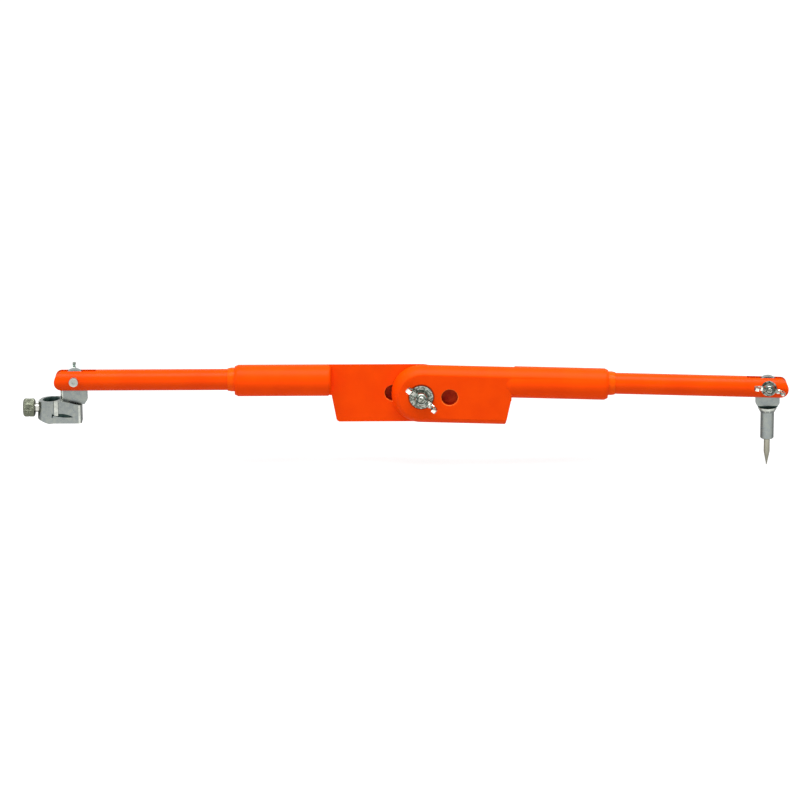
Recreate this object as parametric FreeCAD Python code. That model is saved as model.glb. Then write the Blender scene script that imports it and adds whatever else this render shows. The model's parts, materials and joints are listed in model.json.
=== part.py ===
"""Beam compass with two telescopic arms, folded at a half-lap hinge.

Millimetres, +Z up, +X along the beam towards the steel point, +Y away from the wing nuts' side.
The origin is on the drawing surface, under the middle of the tool's length. The rear arm lies along -X
and is the fixed one, and its tube is level. Every length named "along" is measured from the hinge.
"""
import FreeCAD
import Part
import math
import os

# ---------------------------------------------------------------- clearances
RUNNING_GAP = 0.05       # radial, between a turning or sliding shaft and its hole
SEAT_GAP = 0.02          # radial, between a fixed piece and the hole it is glued or pressed in
SLOT_GAP = 0.2           # each side of a blade in its slot

# ---------------------------------------------------------------- driving dimensions
# the arm's moulding, which is used twice
PLATE_RADIUS = 35.0      # rounded end about the hinge, and half the plate's height
PLATE_THICK = 15.5
FRICTION_DISC_THICK = 1.0
FRICTION_DISC_RADIUS = 20.0
SLEEVE_RADIUS = 18.6
SLEEVE_WALL = 4.1
SLEEVE_START = 106.0     # along, where the full round sleeve begins
SLEEVE_LENGTH = 113.0
SLEEVE_FLOOR = 3.0       # closes the bore towards the hinge
SLEEVE_BLEND = 8.0       # the sleeve's taper into the plate's outer face
SHOULDER_LENGTH = 3.5    # slope of the sleeve's free half, where it faces the other arm
SHOULDER_DROP = 3.0
MOUTH_CHAMFER = 4.0      # length of the taper at the sleeve's mouth
MOUTH_DROP = 1.8         # its depth
PLATE_END_SLOPE = 6.0    # the plate's outer end leans in by this much at its foot
PLATE_CORNER = 4.5       # rounding of that foot
PLATE_END_GAP = 0.5      # keeps the plate's outer end clear of the other arm's sleeve
POCKET_ALONG = 33.3      # round pocket beside the hinge
POCKET_RADIUS = 9.6
POCKET_CHAMFER = 0.8
POCKET_WEB = 3.0
ARM_DROOP = 1.7          # degrees short of a straight line at which the front arm stands

# hinge fasteners
PIVOT_BOLT_RADIUS = 5.0
PIVOT_HEAD_RADIUS = 11.5
PIVOT_HEAD_HEIGHT = 5.5
PIVOT_NECK_HEIGHT = 5.0
PIVOT_WASHER_RADIUS = 14.0
PIVOT_WASHER_THICK = 2.0
REAR_WASHER_RADIUS = 15.0
PIVOT_BOLT_SPARE = 1.5   # thread that stands out of the wing nut

# telescopic tubes
TUBE_RADIUS = 12.5
TUBE_WALL = 1.5
TUBE_ABOVE_SLEEVE = 1.3  # the tube's axis above the sleeve's
TUBE_LENGTH = 242.0
TUBE_HELD = 30.0         # length of tube inside the sleeve with the arm fully out
STROKE_SPARE = 1.0       # left between the plug and the bore's floor with the arm fully in
BUSH_LENGTH = 20.0       # inside the sleeve
BUSH_COLLAR = 8.5        # outside the sleeve
BUSH_COLLAR_DROP = 0.4   # step from the bush to its collar
BUSH_NOSE = 4.3          # length of the collar's tapered nose
BUSH_NOSE_WALL = 0.7     # wall left at its end
PLUG_HEAD = 8.0
PLUG_STEM = 16.0
PLUG_STEM_BORE = 4.0     # radius of the plug's hollow
PLUG_CHAMFER = 1.0

# fork at the tube's outer end
BOLT_FROM_END = 23.5
BOLT_ABOVE_AXIS = 2.0
SLOT_REACH = 25.5        # slot length inward of the bolt
FORK_SOLID = 8.0         # solid root of the fork insert behind the slot

# blade and collar that both holders share
BLADE_THICK = 8.0
BLADE_EYE_RADIUS = 12.0
COLLAR_DEPTH = 26.2      # below the bolt, the point holder's collar
COLLAR_RADIUS = 10.9
COLLAR_EDGE = 1.8        # height of the collar's upright rim
BOWL_RADIUS = 9.2
BOWL_DEPTH = 3.2

# point holder
POINT_BLADE_HALF = 14.0
POINT_BLADE_STRAIGHT = 21.2  # below the bolt, where the blade's sides turn in
POINT_BOLT_RADIUS = 4.0
POINT_BARREL_RADIUS = 8.0
POINT_BARREL_TOP = 33.0  # below the bolt
POINT_BARREL_END = 64.6
POINT_BARREL_CHAMFER = 0.9
POINT_LEAN = -2.3        # degrees that the holder stands swung in from square; below zero is outward
NEEDLE_RADIUS = 3.6
NEEDLE_SHANK = 16.5      # straight part below the barrel, from its shoulder
NEEDLE_CONE = 16.6
NEEDLE_TIP_RADIUS = 0.35
NEEDLE_SEAT = 20.0       # length held in the barrel
NEEDLE_SEAT_RADIUS = 3.0  # of that length

# marker holder
MARKER_BLADE_OUTER = 17.0  # the blade's two sides, outward and inward of the bolt
MARKER_BLADE_INNER = 14.4
MARKER_BLADE_STRAIGHT = 25.4
MARKER_BOLT_RADIUS = 3.0
CLAMP_OFFSET = 31.0      # axis of the clamp's round end at its top, outward of the bolt
SOCKET_INSET = 2.8       # the socket's axis lies inward of that, which thickens the screw's wall
SOCKET_RADIUS = 8.8
SOCKET_WALL = 3.4        # mean
CLAMP_DRAFT = 2.0        # the round end leans outward by this much at its foot
CLAMP_TOP = 24.2         # below the bolt, at the blade
CLAMP_TOP_LEAN = 2.0     # the round end's top falls by this much to its outer side
CLAMP_TOP_FALL = 6.3     # the flat part's top falls by this much to its inner end
CLAMP_BOWL_DEPTH = 2.0
CLAMP_HEIGHT = 28.2
CLAMP_HALF_WIDTH = 10.2  # flat faces
CLAMP_INNER_END = 7.6    # inward of the bolt
CLAMP_CORNER = 3.5
CLAMP_FOOT_RISE = 5.2    # the foot slopes up by this much from the round end's axis outward
CLAMP_RIB_WIDTH = 4.6
CLAMP_RIB_PROUD = 1.1
CLAMP_RIB_FOOT = 9.9     # above the clamp's foot, as are the slot's heights
CLAMP_SLOT_DEPTH = 1.3
CLAMP_SLOT_OUTER = 27.2  # outward of the bolt
CLAMP_SLOT_INNER = 2.0   # outward of the bolt
CLAMP_SLOT_OUTER_RISE = 10.2
CLAMP_SLOT_INNER_RISE = 7.8
CLAMP_SLOT_TOP = 12.0    # in the middle of its length
CLAMP_SLOT_FLOOR = 7.6   # in the middle of its length

# clamp screw
SCREW_RADIUS = 6.0
SCREW_PITCH = 1.0
SCREW_DEPTH = 35.4       # its axis below the bolt
SCREW_FREE = 4.3         # between the clamp's upper edge and the knob, along the screw
KNOB_RADIUS = 10.8
KNOB_LENGTH = 13.7
KNOB_ROUNDING = 2.4
KNOB_BORE = 6.8          # depth to which the screw is pressed in
KNOB_GROOVES = 36
KNOB_GROOVE_RADIUS = 0.55
PAD_THICK = 1.2

# holder fasteners
HOLDER_WASHER_THICK = 1.5
POINT_WASHER_RADIUS = 9.3
MARKER_WASHER_RADIUS = 6.5
HOLDER_HEAD_HEIGHT = 5.6
HOLDER_HEAD_EDGE = 0.9   # chamfer round the head
POINT_HEAD_RADIUS = 6.5
MARKER_HEAD_RADIUS = 5.5
HEAD_SOCKET_RADIUS = 2.0
HEAD_SOCKET_DEPTH = 1.2
HOLDER_BOLT_SPARE = 1.0

# wing nuts: hub radius and height, wing span and height, and how far the wings are turned at rest
PIVOT_NUT_HUB = 9.0
PIVOT_NUT_HUB_HEIGHT = 10.5
PIVOT_NUT_SPAN = 45.0
PIVOT_NUT_HEIGHT = 17.0
PIVOT_NUT_TURN = -38.8
POINT_NUT_HUB = 7.4
POINT_NUT_HUB_HEIGHT = 8.7
POINT_NUT_SPAN = 37.0
POINT_NUT_HEIGHT = 14.0
POINT_NUT_TURN = -11.0
MARKER_NUT_HUB = 5.6
MARKER_NUT_HUB_HEIGHT = 7.2
MARKER_NUT_SPAN = 28.0
MARKER_NUT_HEIGHT = 11.5
MARKER_NUT_TURN = 80.0
NUT_EDGE = 0.8           # chamfer of the hub
NUT_WING_SHARE = 0.55    # a wing's thickness, as a share of the hub's radius
NUT_BEAD_SHARE = 0.1     # height of the bead round a wing, and half its width

# ---------------------------------------------------------------- worked out from the above
MATING_FACE = FRICTION_DISC_THICK / 2
PLATE_FACE = MATING_FACE + PLATE_THICK
SLEEVE_AXIS = PLATE_RADIUS - SLEEVE_RADIUS
TUBE_AXIS = SLEEVE_AXIS + TUBE_ABOVE_SLEEVE
SLEEVE_END = SLEEVE_START + SLEEVE_LENGTH
BORE_RADIUS = SLEEVE_RADIUS - SLEEVE_WALL
BORE_FLOOR = SLEEVE_START + SLEEVE_FLOOR
TUBE_START = SLEEVE_END - TUBE_HELD
TUBE_END = TUBE_START + TUBE_LENGTH
TUBE_BORE = TUBE_RADIUS - TUBE_WALL
PLUG_START = TUBE_START - PLUG_HEAD
TUBE_TRAVEL = PLUG_START - BORE_FLOOR - STROKE_SPARE
BOLT_ALONG = TUBE_END - BOLT_FROM_END
BOLT_HEIGHT = TUBE_AXIS + BOLT_ABOVE_AXIS
SLOT_HALF = BLADE_THICK / 2 + SLOT_GAP
SLOT_START = BOLT_ALONG - SLOT_REACH
SOCKET_OFFSET = CLAMP_OFFSET - SOCKET_INSET
CLAMP_OUTER = SOCKET_RADIUS + SOCKET_WALL
CLAMP_FOOT = CLAMP_TOP + CLAMP_HEIGHT
SCREW_TIP = SOCKET_OFFSET + SOCKET_RADIUS
CLAMP_FACE = CLAMP_OFFSET + CLAMP_OUTER
KNOB_START = CLAMP_FACE + SCREW_FREE
KNOB_END = KNOB_START + KNOB_LENGTH
NEEDLE_POINT = POINT_BARREL_END + NEEDLE_SHANK + NEEDLE_CONE
BOLT_NECK = PIVOT_WASHER_THICK + PIVOT_NECK_HEIGHT

X = FreeCAD.Vector(1, 0, 0)
Y = FreeCAD.Vector(0, 1, 0)
Z = FreeCAD.Vector(0, 0, 1)
HINGE = FreeCAD.Vector(0, 0, 0)


# ---------------------------------------------------------------- shape helpers
def at(x, y, z):
    """A point."""
    return FreeCAD.Vector(x, y, z)


def rod(radius, start, length, direction):
    """A cylinder that starts at a point and runs along a direction."""
    return Part.makeCylinder(radius, length, start, direction)


def tube(outer, inner, start, length, direction):
    """A cylinder with a bore right through it."""
    return rod(outer, start, length, direction).cut(rod(inner, start, length, direction))


def block(low, high):
    """A box between its lowest and highest corners."""
    return Part.makeBox(high.x - low.x, high.y - low.y, high.z - low.z, low)


def turned(profile):
    """Revolve (radius, height) points about Z, closed along the axis."""
    points = [at(r, 0, z) for r, z in profile]
    return Part.Face(Part.makePolygon(points + [points[0]])).revolve(HINGE, Z, 360)


def slab(face, thickness):
    """Extrude a face in the XZ plane by half a thickness to each side."""
    face.translate(at(0, -thickness / 2, 0))
    return face.extrude(at(0, thickness, 0))


def outline(points):
    """A face in the XZ plane from (x, z) corners."""
    corners = [at(x, 0, z) for x, z in points]
    return Part.Face(Part.makePolygon(corners + [corners[0]]))


def edges_at(shape, x, z):
    """Straight edges parallel to Y that pass through a point of the side view."""
    found = []
    for edge in shape.Edges:
        box = edge.BoundBox
        flat = box.XLength < 0.01 and box.ZLength < 0.01
        if flat and abs(box.XMin - x) < 0.01 and abs(box.ZMin - z) < 0.01:
            found.append(edge)
    return found


def upright_edges(shape, x):
    """Straight edges parallel to Z at a distance along X."""
    found = []
    for edge in shape.Edges:
        box = edge.BoundBox
        if box.XLength < 0.01 and box.YLength < 0.01 and abs(box.XMin - x) < 0.01:
            found.append(edge)
    return found


# ---------------------------------------------------------------- the arm
def plate_profile():
    """The plate's rounded edge, in the plane across the arm, and the heights of its two ends."""
    reach = math.sqrt(SLEEVE_RADIUS ** 2 - PLATE_FACE ** 2)
    inner = math.sqrt(SLEEVE_RADIUS ** 2 - MATING_FACE ** 2)
    middle = (PLATE_FACE + MATING_FACE) / 2
    bulge = math.sqrt(SLEEVE_RADIUS ** 2 - middle ** 2)
    rim = Part.Arc(
        at(0, -PLATE_FACE, SLEEVE_AXIS + reach),
        at(0, -middle, SLEEVE_AXIS + bulge),
        at(0, -MATING_FACE, SLEEVE_AXIS + inner),
    ).toShape()
    return rim, SLEEVE_AXIS + reach, SLEEVE_AXIS + inner


def half_plate_face():
    """The cross-section's upper half, from the mid line to the rounded edge."""
    rim, outer_height, inner_height = plate_profile()
    outer = Part.makeLine(at(0, -PLATE_FACE, 0), at(0, -PLATE_FACE, outer_height))
    inner = Part.makeLine(at(0, -MATING_FACE, inner_height), at(0, -MATING_FACE, 0))
    foot = Part.makeLine(at(0, -MATING_FACE, 0), at(0, -PLATE_FACE, 0))
    return Part.Face(Part.Wire([outer, rim, inner, foot]))


def plate_bounds():
    """The plate's side view, less its round end: its outer end leans in and is rounded at the foot."""
    far = PLATE_RADIUS * 2
    end = SLEEVE_START - PLATE_END_GAP
    foot = end - PLATE_END_SLOPE
    sleeve_foot = SLEEVE_AXIS - SLEEVE_RADIUS
    side_view = outline([
        (-far, far), (SLEEVE_START, far), (SLEEVE_START, sleeve_foot), (end, sleeve_foot),
        (foot, -PLATE_RADIUS), (-far, -PLATE_RADIUS),
    ])
    bounds = slab(side_view, PLATE_FACE * 3)
    return bounds.makeFillet(PLATE_CORNER, edges_at(bounds, foot, -PLATE_RADIUS))


def arm_plate():
    """The flat half of the half-lap: round about the hinge, then straight along X."""
    half = half_plate_face()
    upper = half.extrude(X * SLEEVE_START)
    lower = upper.mirror(HINGE, Z)
    nose = half.revolve(HINGE, Y, -180)
    return upper.fuse([lower, nose]).common(plate_bounds())


def arm():
    """One arm's moulding, lying along +X with its plate on the -Y side."""
    axis_start = at(SLEEVE_START, 0, SLEEVE_AXIS)
    sleeve = rod(SLEEVE_RADIUS, axis_start, SLEEVE_LENGTH - MOUTH_CHAMFER, X)
    mouth = Part.makeCone(
        SLEEVE_RADIUS, SLEEVE_RADIUS - MOUTH_DROP, MOUTH_CHAMFER,
        at(SLEEVE_END - MOUTH_CHAMFER, 0, SLEEVE_AXIS), X,
    )
    blend = Part.makeCone(
        PLATE_FACE, SLEEVE_RADIUS, SLEEVE_BLEND, at(SLEEVE_START - SLEEVE_BLEND, 0, SLEEVE_AXIS), X,
    )
    front_half = block(
        at(0, -SLEEVE_RADIUS * 2, -PLATE_RADIUS * 2), at(SLEEVE_START, -MATING_FACE, PLATE_RADIUS * 2),
    )
    body = arm_plate().fuse([blend.common(front_half), sleeve, mouth]).removeSplitter()
    bore = rod(BORE_RADIUS, at(BORE_FLOOR, 0, TUBE_AXIS), SLEEVE_LENGTH, X)
    bolt_hole = rod(PIVOT_BOLT_RADIUS + RUNNING_GAP, at(0, -PLATE_FACE, 0), PLATE_THICK, Y)
    body = body.cut([bore, bolt_hole, neck_socket(), shoulder_slope()] + pockets())
    return body.removeSplitter()


def shoulder_slope():
    """What is trimmed off the free half of the sleeve, to slope the edge that faces the other arm."""
    clear = SLEEVE_RADIUS * 2
    stock = block(
        at(SLEEVE_START, -MATING_FACE, SLEEVE_AXIS - clear),
        at(SLEEVE_START + SHOULDER_LENGTH, clear, SLEEVE_AXIS + clear),
    )
    kept = Part.makeCone(
        SLEEVE_RADIUS - SHOULDER_DROP, SLEEVE_RADIUS, SHOULDER_LENGTH, at(SLEEVE_START, 0, SLEEVE_AXIS), X,
    )
    return stock.cut(kept)


def neck_socket():
    """Square socket in the plate's outer face for the hinge bolt's neck."""
    half = PIVOT_BOLT_RADIUS + RUNNING_GAP
    depth = PIVOT_NECK_HEIGHT + RUNNING_GAP
    return block(at(-half, -PLATE_FACE, -half), at(half, -PLATE_FACE + depth, half))


def pockets():
    """The round pockets, cored from both faces of the plate and parted by a web."""
    depth = (PLATE_THICK - POCKET_WEB) / 2
    wide = POCKET_RADIUS + POCKET_CHAMFER
    faces = [(-PLATE_FACE, Y), (-MATING_FACE, Y * -1)]
    cuts = []
    for face, inward in faces:
        centre = at(POCKET_ALONG, face, 0)
        cuts.append(rod(POCKET_RADIUS, centre, depth, inward))
        cuts.append(Part.makeCone(wide, POCKET_RADIUS, POCKET_CHAMFER, centre, inward))
    return cuts


# ---------------------------------------------------------------- inside and at the mouth of the sleeve
def guide_bush():
    """Bush glued in the sleeve's mouth, with a collar that tapers onto the tube."""
    outer = BORE_RADIUS - SEAT_GAP
    inner = TUBE_RADIUS + RUNNING_GAP
    collar = outer - BUSH_COLLAR_DROP
    nose = inner + BUSH_NOSE_WALL
    body = turned([
        (inner, -BUSH_LENGTH), (outer, -BUSH_LENGTH), (outer, 0), (collar, 0),
        (collar, BUSH_COLLAR - BUSH_NOSE), (nose, BUSH_COLLAR), (inner, BUSH_COLLAR),
    ])
    return along_arm(body, SLEEVE_END)


def tube_plug():
    """Nylon plug in the tube's inner end. Its head slides in the sleeve's bore."""
    head = BORE_RADIUS - RUNNING_GAP
    stem = TUBE_BORE - RUNNING_GAP
    end = PLUG_HEAD + PLUG_STEM
    body = turned([
        (PLUG_STEM_BORE, 0), (head - PLUG_CHAMFER, 0), (head, PLUG_CHAMFER), (head, PLUG_HEAD),
        (stem, PLUG_HEAD), (stem, end - PLUG_CHAMFER), (stem - PLUG_CHAMFER, end), (PLUG_STEM_BORE, end),
    ])
    return along_arm(body, PLUG_START)


def along_arm(shape, along):
    """Lay a shape turned about Z along the tube's axis, its foot at a distance from the hinge."""
    shape.rotate(HINGE, Y, 90)
    shape.translate(at(along, 0, TUBE_AXIS))
    return shape


def nose_cut(radius):
    """What is trimmed off a round bar of a radius to round its end in side view."""
    centre = TUBE_END - TUBE_RADIUS
    clear = radius * 2
    stock = block(at(centre, -clear, TUBE_AXIS - clear), at(TUBE_END + radius, clear, TUBE_AXIS + clear))
    round_end = rod(TUBE_RADIUS, at(centre, -clear, TUBE_AXIS), clear * 2, Y)
    return stock.cut(round_end)


def fork_slot():
    """The slot for a holder's blade, open at the tube's end."""
    return block(
        at(SLOT_START, -SLOT_HALF, TUBE_AXIS - TUBE_RADIUS * 2),
        at(TUBE_END + TUBE_RADIUS, SLOT_HALF, TUBE_AXIS + TUBE_RADIUS * 2),
    )


def cross_hole(radius):
    """The hole for a holder's bolt across the tube."""
    return rod(radius + SEAT_GAP, at(BOLT_ALONG, -TUBE_RADIUS * 2, BOLT_HEIGHT), TUBE_RADIUS * 4, Y)


def outer_tube(bolt_radius):
    """The telescopic tube with its slotted, rounded end."""
    wall = tube(TUBE_RADIUS, TUBE_BORE, at(TUBE_START, 0, TUBE_AXIS), TUBE_LENGTH, X)
    return wall.cut([nose_cut(TUBE_RADIUS), fork_slot(), cross_hole(bolt_radius)])


def fork_insert(bolt_radius):
    """Fork that fills the tube's end, so that the bolt pinches the blade without crushing the tube."""
    radius = TUBE_BORE - SEAT_GAP
    start = SLOT_START - FORK_SOLID
    core = rod(radius, at(start, 0, TUBE_AXIS), TUBE_END - start, X)
    return core.cut([nose_cut(TUBE_RADIUS), fork_slot(), cross_hole(bolt_radius)])


# ---------------------------------------------------------------- holders, about their bolt at the origin
def blade(outer, inner, straight, foot):
    """The blade that swings in the fork: an eye above, widening below the tube, down to its foot.

    Its two sides stand outer (-X) and inner (+X) of the bolt, and turn in at a depth to the foot.
    """
    eye = rod(BLADE_EYE_RADIUS, at(0, -BLADE_THICK / 2, 0), BLADE_THICK, Y)
    body = slab(outline([
        (-BLADE_EYE_RADIUS, 0), (BLADE_EYE_RADIUS, 0), (inner, -BLADE_EYE_RADIUS),
        (inner, -straight), (COLLAR_RADIUS, -foot), (-COLLAR_RADIUS, -foot),
        (-outer, -straight), (-outer, -BLADE_EYE_RADIUS),
    ]), BLADE_THICK)
    return eye.fuse(body)


def blade_hole(bolt_radius):
    """The eye's hole, in which the holder turns on its bolt."""
    return rod(bolt_radius + RUNNING_GAP, at(0, -BLADE_THICK, 0), BLADE_THICK * 2, Y)


def bowl(rim, floor):
    """The hollow round the blade's foot, between two depths below the bolt."""
    hollow = rod(BOWL_RADIUS, at(0, 0, -floor), floor - rim, Z)
    half = BLADE_THICK / 2
    kept = block(at(-BOWL_RADIUS, -half, -floor), at(BOWL_RADIUS, half, -rim))
    return hollow.cut(kept)


def point_holder():
    """Die-cast holder: blade, collar and barrel, bored for the needle."""
    plate = blade(POINT_BLADE_HALF, POINT_BLADE_HALF, POINT_BLADE_STRAIGHT, COLLAR_DEPTH)
    barrel = turned([
        (0, -COLLAR_DEPTH), (COLLAR_RADIUS, -COLLAR_DEPTH), (COLLAR_RADIUS, -COLLAR_DEPTH - COLLAR_EDGE),
        (POINT_BARREL_RADIUS, -POINT_BARREL_TOP),
        (POINT_BARREL_RADIUS, POINT_BARREL_CHAMFER - POINT_BARREL_END),
        (POINT_BARREL_RADIUS - POINT_BARREL_CHAMFER, -POINT_BARREL_END), (0, -POINT_BARREL_END),
    ])
    bore = rod(NEEDLE_SEAT_RADIUS + SEAT_GAP, at(0, 0, -POINT_BARREL_END), NEEDLE_SEAT + SEAT_GAP, Z)
    hollow = bowl(COLLAR_DEPTH, COLLAR_DEPTH + BOWL_DEPTH)
    return plate.fuse(barrel).cut([blade_hole(POINT_BOLT_RADIUS), hollow, bore]).removeSplitter()


def needle():
    """Steel point: its thinner end is held in the barrel, up to a shoulder."""
    top = NEEDLE_SEAT - POINT_BARREL_END
    shoulder = -POINT_BARREL_END
    shank_end = shoulder - NEEDLE_SHANK
    return turned([
        (0, top), (NEEDLE_SEAT_RADIUS, top), (NEEDLE_SEAT_RADIUS, shoulder), (NEEDLE_RADIUS, shoulder),
        (NEEDLE_RADIUS, shank_end), (NEEDLE_TIP_RADIUS, -NEEDLE_POINT), (0, -NEEDLE_POINT),
    ])


def marker_holder():
    """Die-cast holder: blade and a clamp with an upright socket, its screw hole outward (-X)."""
    fallen = CLAMP_TOP + CLAMP_TOP_FALL
    flat = slab(outline([
        (-CLAMP_OFFSET, -CLAMP_FOOT), (CLAMP_INNER_END, -CLAMP_FOOT), (CLAMP_INNER_END, -fallen),
        (CLAMP_OUTER - CLAMP_OFFSET, -CLAMP_TOP), (-CLAMP_OFFSET, -CLAMP_TOP),
    ]), CLAMP_HALF_WIDTH * 2)
    flat = flat.makeFillet(CLAMP_CORNER, upright_edges(flat, CLAMP_INNER_END))
    plate = blade(MARKER_BLADE_OUTER, MARKER_BLADE_INNER, MARKER_BLADE_STRAIGHT, fallen)
    body = plate.fuse([flat, round_end()])
    body = body.cut(clamp_slots()).fuse(clamp_ribs())
    socket = rod(SOCKET_RADIUS, at(-SOCKET_OFFSET, 0, -CLAMP_FOOT), CLAMP_HEIGHT, Z)
    screw_way = rod(
        SCREW_RADIUS + RUNNING_GAP, at(-KNOB_START, 0, -SCREW_DEPTH), KNOB_START - SOCKET_OFFSET, X,
    )
    hollow = bowl(CLAMP_TOP, fallen + CLAMP_BOWL_DEPTH)
    cuts = [blade_hole(MARKER_BOLT_RADIUS), socket, screw_way, hollow] + clamp_slopes()
    return body.cut(cuts).removeSplitter()


def round_end():
    """The clamp's round end, which leans outward towards its foot."""
    circle = Part.Wire([Part.makeCircle(CLAMP_OUTER, at(-CLAMP_OFFSET, 0, -CLAMP_TOP), Z)])
    return Part.Face(circle).extrude(at(-CLAMP_DRAFT, 0, -CLAMP_HEIGHT))


def clamp_slopes():
    """What is trimmed off the round end's top and foot."""
    far = CLAMP_FACE + CLAMP_DRAFT
    leant = -CLAMP_TOP - CLAMP_TOP_LEAN
    risen = CLAMP_FOOT_RISE - CLAMP_FOOT
    blade_side = -MARKER_BLADE_OUTER
    over = outline([(blade_side, -CLAMP_TOP), (-far, leant), (-far, 0), (blade_side, 0)])
    under = outline([(-CLAMP_OFFSET, -CLAMP_FOOT), (-far, -CLAMP_FOOT), (-far, risen)])
    return [slab(over, CLAMP_OUTER * 3), slab(under, CLAMP_OUTER * 3)]


def clamp_ribs():
    """The upright rib on each flat face, beside the round end. It bridges the slot."""
    start = -CLAMP_OFFSET + math.sqrt(CLAMP_OUTER ** 2 - CLAMP_HALF_WIDTH ** 2)
    foot = CLAMP_RIB_FOOT - CLAMP_FOOT
    ribs = []
    for side in (-1, 1):
        proud = side * (CLAMP_HALF_WIDTH + CLAMP_RIB_PROUD)
        ribs.append(block(
            at(start, min(proud, 0), foot), at(start + CLAMP_RIB_WIDTH, max(proud, 0), -CLAMP_TOP),
        ))
    return ribs


def clamp_slots():
    """The blind, lens-shaped slot in each flat face."""
    outer = at(-CLAMP_SLOT_OUTER, 0, CLAMP_SLOT_OUTER_RISE - CLAMP_FOOT)
    inner = at(-CLAMP_SLOT_INNER, 0, CLAMP_SLOT_INNER_RISE - CLAMP_FOOT)
    middle = (outer.x + inner.x) / 2
    upper = Part.Arc(outer, at(middle, 0, CLAMP_SLOT_TOP - CLAMP_FOOT), inner).toShape()
    lower = Part.Arc(inner, at(middle, 0, CLAMP_SLOT_FLOOR - CLAMP_FOOT), outer).toShape()
    slots = []
    for side in (-1, 1):
        lens = Part.Face(Part.Wire([upper, lower]))
        lens.translate(at(0, side * (CLAMP_HALF_WIDTH - CLAMP_SLOT_DEPTH), 0))
        slots.append(lens.extrude(at(0, side * CLAMP_OUTER, 0)))
    return slots


# ---------------------------------------------------------------- clamp screw, about the marker bolt
def clamp_screw():
    """Screw from the pad to inside the knob, along -X."""
    start = SCREW_TIP + PAD_THICK
    return rod(SCREW_RADIUS, at(-start, 0, -SCREW_DEPTH), KNOB_START + KNOB_BORE - start, X * -1)


def pressure_pad():
    """Pad at the screw's tip that presses on the marker."""
    return rod(SCREW_RADIUS - RUNNING_GAP, at(-SCREW_TIP - PAD_THICK, 0, -SCREW_DEPTH), PAD_THICK, X)


def clamp_knob():
    """Straight-knurled knob, pressed on the screw."""
    body = turned([
        (0, 0), (KNOB_RADIUS - KNOB_ROUNDING, 0), (KNOB_RADIUS, KNOB_ROUNDING),
        (KNOB_RADIUS, KNOB_LENGTH - KNOB_ROUNDING), (KNOB_RADIUS - KNOB_ROUNDING, KNOB_LENGTH),
        (0, KNOB_LENGTH),
    ])
    grooves = []
    for index in range(KNOB_GROOVES):
        angle = 2 * math.pi * index / KNOB_GROOVES
        place = at(KNOB_RADIUS * math.cos(angle), KNOB_RADIUS * math.sin(angle), 0)
        grooves.append(rod(KNOB_GROOVE_RADIUS, place, KNOB_LENGTH, Z))
    body = body.cut(grooves)
    body = body.cut(rod(SCREW_RADIUS + SEAT_GAP, HINGE, KNOB_BORE + SEAT_GAP, Z))
    body.rotate(HINGE, Y, -90)
    body.translate(at(-KNOB_START, 0, -SCREW_DEPTH))
    return body


# ---------------------------------------------------------------- fasteners, standing on the XY plane
def washer(radius, hole_radius, thickness):
    """Flat washer."""
    return tube(radius, hole_radius, HINGE, thickness, Z)


def ear_outline(hub, span, height, hub_height, inset):
    """One wing in the XZ plane, drawn in by an inset: a rounded paddle that rises from the hub.

    Its points are shares of the nut's own span and height, because the three nuts are one pattern.
    """
    tip = span / 2 - inset
    top = height - inset
    root = hub / 2
    low = at(root, 0, NUT_EDGE + inset)
    under = at(hub + span / 6, 0, height / 6 + inset)
    heel = at(tip - span / 25, 0, height * 2 / 5 + inset)
    outer = at(tip, 0, height * 3 / 4)
    shoulder = at(tip - span / 20, 0, top - height / 50)
    crown = at(tip - span / 10, 0, top)
    brow = at(tip - span / 7, 0, top - height / 25)
    saddle = at(hub + span / 12 - inset, 0, hub_height * 9 / 10 - inset)
    high = at(root, 0, hub_height - NUT_EDGE - inset)
    wire = Part.Wire([
        Part.Arc(low, under, heel).toShape(),
        Part.Arc(heel, outer, shoulder).toShape(),
        Part.Arc(shoulder, crown, brow).toShape(),
        Part.Arc(brow, saddle, high).toShape(),
        Part.makeLine(high, low),
    ])
    return Part.Face(wire)


def wing_nut(bolt_radius, hub, span, height, hub_height):
    """Wing nut with beaded wings along X, its foot on the XY plane."""
    top = hub * 4 / 5
    body = turned([
        (0, 0), (hub - NUT_EDGE, 0), (hub, NUT_EDGE), (top, hub_height - NUT_EDGE),
        (top - NUT_EDGE, hub_height), (0, hub_height),
    ])
    half = hub * NUT_WING_SHARE / 2
    bead = hub * NUT_BEAD_SHARE
    wing = slab(ear_outline(hub, span, height, hub_height, 0.0), half * 2)
    for side in (-1, 1):
        dish = ear_outline(hub, span, height, hub_height, bead * 2)
        dish.translate(at(0, side * half, 0))
        wing = wing.cut(dish.extrude(at(0, -side * bead, 0)))
    other = wing.mirror(HINGE, X)
    hole = rod(bolt_radius + RUNNING_GAP, HINGE, hub_height, Z)
    return body.fuse([wing, other]).cut(hole).removeSplitter()


def carriage_bolt(length):
    """Domed bolt with a square neck. The shank runs up Z from the head's seat."""
    rise = PIVOT_HEAD_HEIGHT
    radius = (PIVOT_HEAD_RADIUS ** 2 + rise ** 2) / (2 * rise)
    ball = Part.makeSphere(radius, at(0, 0, radius - rise))
    head = ball.common(rod(PIVOT_HEAD_RADIUS, at(0, 0, -rise), rise, Z))
    half = PIVOT_BOLT_RADIUS
    neck = block(at(-half, -half, 0), at(half, half, BOLT_NECK))
    shank = rod(PIVOT_BOLT_RADIUS, HINGE, length, Z)
    return head.fuse([neck, shank]).removeSplitter()


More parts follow.
